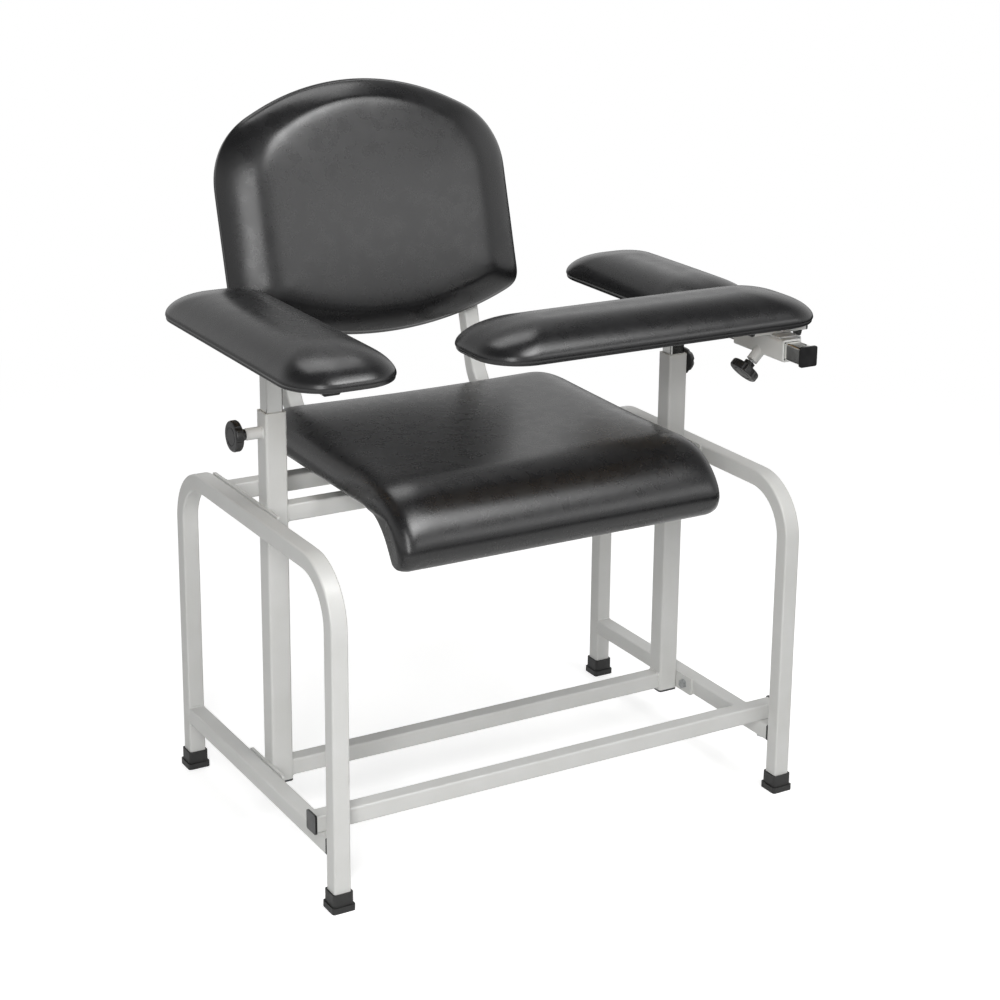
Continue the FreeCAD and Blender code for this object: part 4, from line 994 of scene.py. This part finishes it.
    def wrinkle(self, points: np.ndarray) -> np.ndarray:
        """Small folds where the cover is gathered at the two lower front corners.

        They fan out from each corner as sin(n a) with a the angle round it, and fade as exp(-(d / r)^2).

        Args:
            points: The seat's points, in their place.

        Returns:
            The folded points.
        """
        folded = points.copy()
        for side in (-1, 1):
            y = FRAME_MIDDLE - self.front + self.lip_back
            corner = np.array([side * (self.half - self.fold_side), y, self.board_under - self.fold_below])
            offset = points - corner
            distance = np.linalg.norm(offset, axis=-1)
            angle = np.arctan2(offset[..., 2], offset[..., 0] * side)
            fade = np.exp(-((distance / self.fold_reach) ** 2)) * np.clip(distance / self.fold_inner, 0, 1)
            folded[..., 1] -= self.fold_depth * np.sin(self.fold_count * angle) * fade
        return folded


@dataclass(kw_only=True)
class BackPad(Padding):
    """The backrest: its outline in the leaning plane, carried forward to a broad flat panel."""

    half: float = 252.0
    top: float = 326.0
    shoulder: float = 281.0
    shoulder_half: float = 178.0
    side_top: float = 172.0
    side_bulge: float = 0.66
    foot_half: float = 238.0
    foot_up: float = 28.0
    foot_drop: float = 77.0
    upright_share: float = 0.57
    held_reach: float = 6.0
    smallest: float = 0.04
    columns: int = 200
    origin: tuple[float, float] = (294.5, 692.7)
    lean: float = math.radians(16.0)
    staple_inset: float = 18.0
    staple_step: int = 4
    profile: Profile = field(init=False)

    def __post_init__(self) -> None:
        """Sets the section, which has a firm crease round the panel."""
        self.profile = Profile(
            width=2 * self.half,
            thick=53.0,
            edge=66.0,
            belly=10.0,
            tuck=3.4,
            crown=2.5,
            squareness=1.9,
            crease=0.5,
            crease_passes=3,
            turned_under=30.0,
        )

    def arc(self, *corners: tuple[float, float], count: int) -> np.ndarray:
        """Points on the circle through three points, from the first to the last.

        Args:
            corners: The three points, across and up.
            count: How many points.

        Returns:
            The points, one row each.
        """
        (ax, ay), (bx, by), (cx, cy) = corners
        d = 2 * (ax * (by - cy) + bx * (cy - ay) + cx * (ay - by))
        a, b, c = (x**2 + y**2 for x, y in corners)
        ux = (a * (by - cy) + b * (cy - ay) + c * (ay - by)) / d
        uy = (a * (cx - bx) + b * (ax - cx) + c * (bx - ax)) / d
        radius = math.hypot(ax - ux, ay - uy)
        turns = np.unwrap([math.atan2(y - uy, x - ux) for x, y in corners])
        spots = np.interp(np.linspace(0, 2, count), [0, 1, 2], turns)
        return np.stack([ux + radius * np.cos(spots), uy + radius * np.sin(spots)], axis=-1)

    def outline(self) -> np.ndarray:
        """The closed outline in the leaning plane.

        Returns:
            Its points, across and up.
        """
        foot = (self.foot_half, -self.foot_up)
        share = math.sqrt(0.5)
        turn = (self.half - (self.half - self.foot_half) * (1 - share), -self.foot_up * share)
        shoulder = (self.shoulder_half, self.shoulder)
        side_end = (self.half, self.side_top)
        bulge = tuple(
            near + (far - near) * self.side_bulge
            for near, far in ((self.shoulder_half, self.half), (self.side_top, self.shoulder))
        )
        runs = (
            self.arc((-foot[0], foot[1]), (0.0, -self.foot_drop), foot, count=121)[60:],
            self.arc(foot, turn, (self.half, 0.0), count=12)[1:],
            self.arc(side_end, bulge, shoulder, count=40),
            self.arc(shoulder, (0.0, self.top), (-shoulder[0], shoulder[1]), count=81)[1:41],
        )
        return soften(even_loop(np.concatenate(runs), self.columns)[None], 3)[0]

    def build(self) -> None:
        """Builds the pad: loops that shrink toward the middle as they come forward and in."""
        outline = self.outline()
        inset, height, held = self.profile.levels()
        edge = self.profile.edge
        tall = (self.top + self.foot_drop) / 2
        middle = np.array([0.0, self.top - tall])
        narrow = np.clip(1 - inset / self.half, self.smallest, 1)
        upright = np.minimum(inset, edge) * self.upright_share + np.maximum(inset - edge, 0)
        lower = np.clip(1 - np.where(inset < self.held_reach, inset, upright) / tall, self.smallest, 1)
        loops = middle + (outline[None] - middle) * np.stack([narrow, lower], axis=-1)[:, None, :]
        points = self.place(loops[..., 0], loops[..., 1], np.broadcast_to(height[:, None], loops.shape[:2]))
        calm = self.profile.calm(inset)
        self.wrap("back_cover", "back_cushion", Body.FRAME, points, held[:, None], calm[:, None])
        row = (middle + (outline - middle) * (1 - self.staple_inset / self.half))[:: self.staple_step]
        line = self.place(row[:, 0], row[:, 1], np.full(len(row), -VINYL))
        behind = np.array([0.0, math.cos(self.lean), -math.sin(self.lean)])
        self.staples("back_staples", line, behind, Body.FRAME)

    def place(self, across: np.ndarray, up: np.ndarray, forward: np.ndarray) -> np.ndarray:
        """Leans the plane back: its height runs along (0, sin a, cos a), and it faces (0, -cos a, sin a)."""
        y = self.origin[0] + up * math.sin(self.lean) - forward * math.cos(self.lean)
        z = self.origin[1] + up * math.cos(self.lean) + forward * math.sin(self.lean)
        return np.stack([across, y, z], axis=-1)


# Steelwork


@dataclass
class Bead:
    """A weld bead: a small round rope along a path, swelling and shrinking once for each dab of the torch."""

    radius: float
    dab: float = 3.4
    swing: float = 0.16
    sides: int = 8

    def along(self, name: str, paths: list[np.ndarray]) -> None:
        """Lays beads along closed paths on the frame.

        The radius at a distance s along the path is r (1 + k sin(2 pi s / dab)).

        Args:
            name: The piece's name.
            paths: Closed rows of points.
        """
        points, faces, start = [], [], 0
        for path in paths:
            ahead = unit(np.roll(path, -1, axis=0) - np.roll(path, 1, axis=0))
            flat = path - path.mean(axis=0)
            axis = unit(np.cross(flat[0], flat[len(flat) // 4]))
            outward = np.cross(ahead, axis)
            step = np.linalg.norm(np.roll(path, -1, axis=0) - path, axis=1)
            run = np.cumsum(step) - step
            radius = self.radius * (1 + self.swing * np.sin(2 * math.pi * run / self.dab))
            turn = np.arange(self.sides) / self.sides * 2 * math.pi
            ring = outward[:, None] * np.cos(turn)[None, :, None] + axis * np.sin(turn)[None, :, None]
            tube = (path[:, None] + ring * radius[:, None, None]).reshape(-1, 3)
            rows = grid_faces(len(path) + 1, self.sides) % len(tube)
            points.append(tube)
            faces.append(face_outward(tube, rows) + start)
            start += len(tube)
        mesh = new_mesh(name, np.concatenate(points), np.concatenate(faces))
        add_piece(mesh, Body.FRAME, Slot.COAT)


def square_path(centre: tuple[float, float, float], axis: str, width: float, height: float) -> np.ndarray:
    """A closed rounded rectangle round a square tube's end, with points about 1.1 mm apart.

    Args:
        centre: Its middle.
        axis: The direction that it is square to, x or y.
        width: Its level size.
        height: Its upright size.

    Returns:
        The points, one row each.
    """
    corner, pitch = 3.5, 1.1
    count = int(2 * (width + height) / pitch) // 2 * 2
    across, up = even_loop(stadium(height, width, corner, 8), count).T
    level = (np.zeros(count), across) if axis == "x" else (across, np.zeros(count))
    return np.stack([*level, up], axis=-1) + np.array(centre)


def boss_on_corner(out: np.ndarray, up: np.ndarray) -> np.ndarray:
    """Where a round boss that leaves an upright corner at 45 degrees meets its two faces.

    With the corner at the origin and the faces behind it, a point at out across the boss lies back along the
    boss's axis by as much as it lies aside.

    Args:
        out: Each point's place across the boss, level.
        up: Each point's height from the boss's axis.

    Returns:
        Each point's place from the corner.
    """
    share = math.sqrt(0.5)
    return np.stack([(out - np.abs(out)) * share, (-out - np.abs(out)) * share, up], axis=-1)


class Unit:
    """A unit of the chair, with pieces of its own to build and nodes to dress. Either may be none."""

    def build(self) -> None:
        """Builds the unit's own pieces."""

    def dress(self) -> None:
        """Gives the unit's nodes their finishes."""


@dataclass
class SteelFrame(Unit):
    """The welded and bolted frame: hoops, rails, posts, crossbars, footrest, and seat and back bearers."""

    gap: float = 0.6
    rail_inset: float = 3.0
    boss_radius: float = 8.7
    boss_points: int = 60

    def build(self) -> None:
        """Lays the welds where tube ends meet a face, and round the two bosses of the posts."""
        hoop = Extent("right_side_frame")
        post = Extent("left_post")
        rear_bar = Extent("rear_seat_crossbar")
        post_inner = Extent("right_post").low[0]
        plate_inner = Extent("right_upper_plate").low[0]
        lower_bar_z = Extent("lower_crossbar").middle[2]
        rail_z = Extent("right_lower_rail").middle[2]
        knob_z = Extent("left_clamp_knob").middle[2]
        tube, post_y = hoop.size[0], post.middle[1]
        side = tube + self.gap
        paths = []
        for sign in (-1, 1):
            bars = (
                (post_inner * sign, post_y, lower_bar_z),
                (post_inner * sign, post_y, rear_bar.middle[2]),
                (plate_inner * sign, rear_bar.middle[1], rear_bar.middle[2]),
            )
            paths.extend(square_path(centre, "x", side, side) for centre in bars)
            rail_end = (hoop.middle[0] * sign, hoop.high[1] - tube, rail_z)
            paths.append(square_path(rail_end, "y", side - self.rail_inset, side))
        Bead(radius=1.7).along("crossbar_welds", paths)
        turn = np.linspace(0, 2 * math.pi, self.boss_points, endpoint=False)
        out, up = self.boss_radius * np.cos(turn), self.boss_radius * np.sin(turn)
        flat = np.stack([np.full(self.boss_points, -plate_inner), post_y + out, knob_z + up], axis=-1)
        corner = np.array([plate_inner, post_y + post.size[1] / 2, knob_z])
        Bead(radius=1.3, dab=2.8).along("boss_welds", [flat, corner + boss_on_corner(out, up)])

    def dress(self) -> None:
        """Gives the frame's nodes their finishes."""
        pairs = ("upper_plate", "lower_plate", "side_frame", "lower_rail", "post", "seat_bearer")
        cover(Slot.COAT, *(f"{side}_{part}" for side in ("left", "right") for part in pairs))
        cover(Slot.COAT, "lower_crossbar", "front_seat_crossbar", "rear_seat_crossbar", "footrest_bar")
        cover(Slot.ZINC, "frame_bolts", "bearer_bolts", "footrest_bolts", "seat_screws", "back_screws")
        cover(Slot.PLASTIC, "rail_end_plugs", "post_bottom_plugs", "footrest_end_caps", "bearer_end_plugs")
        cover(Slot.RUBBER, "rubber_feet")
        cover(Slot.BOARD, "seat_board", "back_board")


@dataclass
class ArmRest(Unit):
    """One arm: a plated tube in its post, a plated bar, and a padded board."""

    side: str
    body: Body

    def build(self) -> None:
        """Builds the arm's pad."""
        BoardPad(name=f"{self.side}_arm_cover", node=f"{self.side}_arm_pad", body=self.body).build()

    def dress(self) -> None:
        """Gives the arm's nodes their finishes."""
        cover(Slot.CHROME, f"{self.side}_arm_tube", f"{self.side}_arm_bar")
        cover(Slot.PLASTIC, f"{self.side}_arm_bar_plugs")
        cover(Slot.ZINC, f"{self.side}_arm_screws")
        cover(Slot.BOARD, f"{self.side}_arm_board")


class CrossPad(Unit):
    """The cross pad on its hinge, bracket and sliding sleeve."""

    def build(self) -> None:
        """Builds the pad."""
        BoardPad(name="cross_cover", node="cross_pad", body=Body.FLIP_PAD).build()

    def dress(self) -> None:
        """Gives the sleeve, hinge and bracket their finishes."""
        cover(Slot.COAT, "slide_sleeve", "hinge_fixed_leaf", "hinge_moving_leaf")
        cover(Slot.COAT, "bracket_tubes", "pad_plate")
        cover(Slot.ZINC, "hinge_pin", "cross_pad_screws")
        cover(Slot.PLASTIC, "bracket_tube_plugs")
        cover(Slot.RUBBER, "bumper")
        cover(Slot.BOARD, "cross_board")


class ClampScrews(Unit):
    """The three clamp screws, each a moulded knob on a threaded stud."""

    def dress(self) -> None:
        """Gives knobs and studs their finishes."""
        for name in ("left_clamp", "right_clamp", "slide_clamp"):
            cover(Slot.PLASTIC, f"{name}_knob")
            cover(Slot.ZINC, f"{name}_stud")


class Upholstery(Unit):
    """The covers of seat and back."""

    def build(self) -> None:
        """Builds the two pads."""
        SeatPad().build()
        BackPad().build()


# Studio


@dataclass
class Lamp:
    """One soft box: a rectangle of light that faces a point, in metres and watts."""

    name: str
    place: tuple[float, float, float]
    aim: tuple[float, float, float]
    size: tuple[float, float]
    power: float
    lights_matt: bool = True
    lights_glossy: bool = True

    def build(self) -> None:
        """Hangs the lamp. One that lights nothing matt is a white card that only shows in glossy pieces."""
        data = bpy.data.lights.new(self.name, "AREA")
        data.shape = "RECTANGLE"
        data.size, data.size_y = self.size
        data.energy = self.power
        lamp = bpy.data.objects.new(self.name, data)
        bpy.context.scene.collection.objects.link(lamp)
        lamp.visible_camera = False
        lamp.visible_diffuse = self.lights_matt
        lamp.visible_glossy = self.lights_glossy
        lamp.location = self.place
        lamp.rotation_mode = "QUATERNION"
        lamp.rotation_quaternion = (Vector(self.aim) - Vector(self.place)).to_track_quat("-Z", "Y")


def smooth_range(
    tree: Tree, value: Socket, start: float, end: float, first: float = 0.0, last: float = 1.0
) -> Socket:
    """Adds a smooth change from one value to another while an input goes from its start to its end.

    Args:
        tree: The node tree that takes it.
        value: The input.
        start: The input where the change begins.
        end: The input where it is done.
        first: The value before.
        last: The value after.

    Returns:
        The changing value.
    """
    inputs = {"Value": value, "From Min": start, "From Max": end, "To Min": first, "To Max": last}
    return add_node(tree, "MapRange", inputs, interpolation_type="SMOOTHSTEP").outputs["Result"]


@dataclass
class Studio:
    """A white floor that runs out into a white room, with soft boxes over the chair.

    Attributes:
        ambient: How brightly the room lights matt pieces.
        horizon: How bright its walls are in reflections.
        ceiling: How bright its ceiling is in them.
        dimming: The upward share of a direction where the dimming begins and ends.
        grey: The floor's own colour.
        glow: The light that the floor adds where it is seen, so that it comes out white.
        mirrored: How bright the floor is in reflections.
        mirror_end: How far out to the right that brightness begins to fade and is gone, in metres.
        floor_fade: How far out the floor begins to turn into the room and is gone, in metres.
    """

    ambient: float = 0.27
    horizon: float = 0.9
    ceiling: float = 0.09
    dimming: tuple[float, float] = (0.25, 0.85)
    grey: tuple[float, float, float, float] = (0.72, 0.72, 0.715, 1.0)
    glow: float = 0.62
    mirrored: float = 0.4
    mirror_end: tuple[float, float] = (0.9, 1.5)
    floor_fade: tuple[float, float] = (1.0, 2.6)
    floor_half: float = 14.0
    lamps: tuple[Lamp, ...] = (
        Lamp("key_strip", (-1.45, -2.1, 1.5), (-0.1, 0.0, 0.7), (0.6, 1.9), 42.0, lights_glossy=False),
        Lamp("key_card", (-1.42, -2.06, 1.48), (-0.1, 0.0, 0.7), (0.6, 1.9), 24.0, lights_matt=False),
        Lamp("front_box", (0.75, -1.65, 3.2), (0.0, 0.0, 0.5), (1.7, 1.5), 42.0),
        Lamp("high_card", (0.5, -2.05, 2.95), (0.0, 0.0, 0.5), (1.4, 1.0), 30.0, lights_matt=False),
        Lamp("front_card", (1.6, -2.8, 1.8), (0.0, 0.0, 0.8), (2.4, 0.8), 12.0, lights_matt=False),
        Lamp("top_box", (0.2, 1.1, 3.3), (0.0, 0.0, 0.4), (1.8, 1.2), 22.0),
    )

    def build(self) -> None:
        """Builds the room, the floor and the lamps."""
        self.room()
        self.floor()
        for lamp in self.lamps:
            lamp.build()

    def room(self) -> None:
        """A room that is seen white, darkens toward its ceiling in reflections, and lights evenly."""
        world = bpy.data.worlds.new("room")
        bpy.context.scene.world = world
        world.use_nodes = True
        tree = world.node_tree
        tree.nodes.clear()
        places = add_node(tree, "TexCoord", {}).outputs["Generated"]
        upward = add_node(tree, "SeparateXYZ", {"Vector": places}).outputs["Z"]
        dim = smooth_range(tree, upward, *self.dimming, self.horizon, self.ceiling)
        ray = add_node(tree, "LightPath", {}).outputs
        mirror = add_node(tree, "Mix", {0: ray["Is Glossy Ray"], 2: self.ambient, 3: dim}, data_type="FLOAT")
        inputs = {0: ray["Is Camera Ray"], 1: ray["Is Transmission Ray"]}
        seen = add_node(tree, "Math", inputs, operation="MAXIMUM")
        level = add_node(tree, "Mix", {0: seen.outputs[0], 2: mirror.outputs[0], 3: 1.0}, data_type="FLOAT")
        light = add_node(tree, "Background", {"Color": linear("#FFFFFF"), "Strength": level.outputs[0]})
        add_node(tree, "OutputWorld", {"Surface": light.outputs["Background"]})

    def floor(self) -> None:
        """A white floor that keeps the chair's shadow and fades into the room a few metres out."""
        material = bpy.data.materials.new("studio_floor")
        material.use_nodes = True
        tree = material.node_tree
        tree.nodes.clear()
        places = add_node(tree, "TexCoord", {}).outputs["Object"]
        reach = add_node(tree, "VectorMath", {0: places}, operation="LENGTH").outputs["Value"]
        fade = smooth_range(tree, reach, *self.floor_fade)
        aside = add_node(tree, "SeparateXYZ", {"Vector": places}).outputs["X"]
        mirrored = smooth_range(tree, aside, *self.mirror_end, self.mirrored, 0.0)
        ray = add_node(tree, "LightPath", {}).outputs
        inputs = {0: ray["Is Glossy Ray"], 1: mirrored}
        glossy = add_node(tree, "Math", inputs, operation="MULTIPLY").outputs[0]
        inputs = {0: ray["Is Camera Ray"], 1: self.glow, 2: glossy}
        own = add_node(tree, "Math", inputs, operation="MULTIPLY_ADD").outputs[0]
        seen = add_node(tree, "Math", {0: ray["Is Camera Ray"], 1: glossy}, operation="MAXIMUM").outputs[0]
        matt = add_node(tree, "BsdfDiffuse", {"Color": self.grey})
        lights = ({"Color": linear("#FFFFFF"), "Strength": strength} for strength in (own, seen))
        shine, white = (add_node(tree, "Emission", inputs) for inputs in lights)
        near = add_node(tree, "AddShader", {0: matt.outputs[0], 1: shine.outputs[0]})
        mixed = add_node(tree, "MixShader", {0: fade, 1: near.outputs[0], 2: white.outputs[0]})
        add_node(tree, "OutputMaterial", {"Surface": mixed.outputs[0]})
        half = self.floor_half
        corners = [(-half, -half, 0), (half, -half, 0), (half, half, 0), (-half, half, 0)]
        mesh = bpy.data.meshes.new("studio_floor")
        mesh.from_pydata(corners, [], [(0, 1, 2, 3)])
        mesh.materials.append(material)
        floor = bpy.data.objects.new("studio_floor", mesh)
        bpy.context.scene.collection.objects.link(floor)


@dataclass
class PhotoCamera:
    """The camera that looks as the photograph does: degrees, millimetres, and pixels of its square frame."""

    yaw: float = -32.109
    pitch: float = 16.242
    roll: float = -1.179
    focal: float = 2196.37
    centre: tuple[float, float] = (583.82, 400.0)
    place: tuple[float, float, float] = (-1504.855, -2722.996, 1489.748)
    frame_side: float = 1000.0
    sensor: float = 36.0

    def build(self) -> None:
        """Sets the camera up.

        The yaw turns the view about the upright axis, the pitch tips it down, and the roll turns it about
        itself.
        """
        turn, tip, roll = np.radians([self.yaw, self.pitch, self.roll])
        ahead = np.array([-math.sin(turn) * math.cos(tip), math.cos(turn) * math.cos(tip), -math.sin(tip)])
        level = np.array([math.cos(turn), math.sin(turn), 0.0])
        below = np.cross(ahead, level)
        right = math.cos(roll) * level + math.sin(roll) * below
        down = -math.sin(roll) * level + math.cos(roll) * below
        data = bpy.data.cameras.new("photo_camera")
        data.sensor_width = self.sensor
        data.lens = self.focal / self.frame_side * self.sensor
        data.shift_x = -(self.centre[0] / self.frame_side - 0.5)
        data.shift_y = self.centre[1] / self.frame_side - 0.5
        data.clip_start, data.clip_end = 0.05, 100.0
        camera = bpy.data.objects.new("photo_camera", data)
        bpy.context.scene.collection.objects.link(camera)
        turned = Matrix(np.stack([right, -down, -ahead], axis=-1).tolist())
        camera.matrix_world = Matrix.Translation(Vector(self.place) * MM) @ turned.to_4x4()
        bpy.context.scene.camera = camera


def main() -> None:
    """Builds and dresses the chair in its studio."""
    logging.basicConfig(level=logging.INFO, format="%(name)s: %(message)s")
    bpy.context.scene.view_settings.view_transform = "Standard"
    PhotoCamera().build()
    Studio().build()
    arms = (ArmRest("left", Body.LEFT_ARM), ArmRest("right", Body.RIGHT_ARM))
    for part in (SteelFrame(), Upholstery(), *arms, CrossPad(), ClampScrews()):
        part.build()
        part.dress()
        LOG.info("%s done", type(part).__name__)


if __name__ == "__main__":
    main()
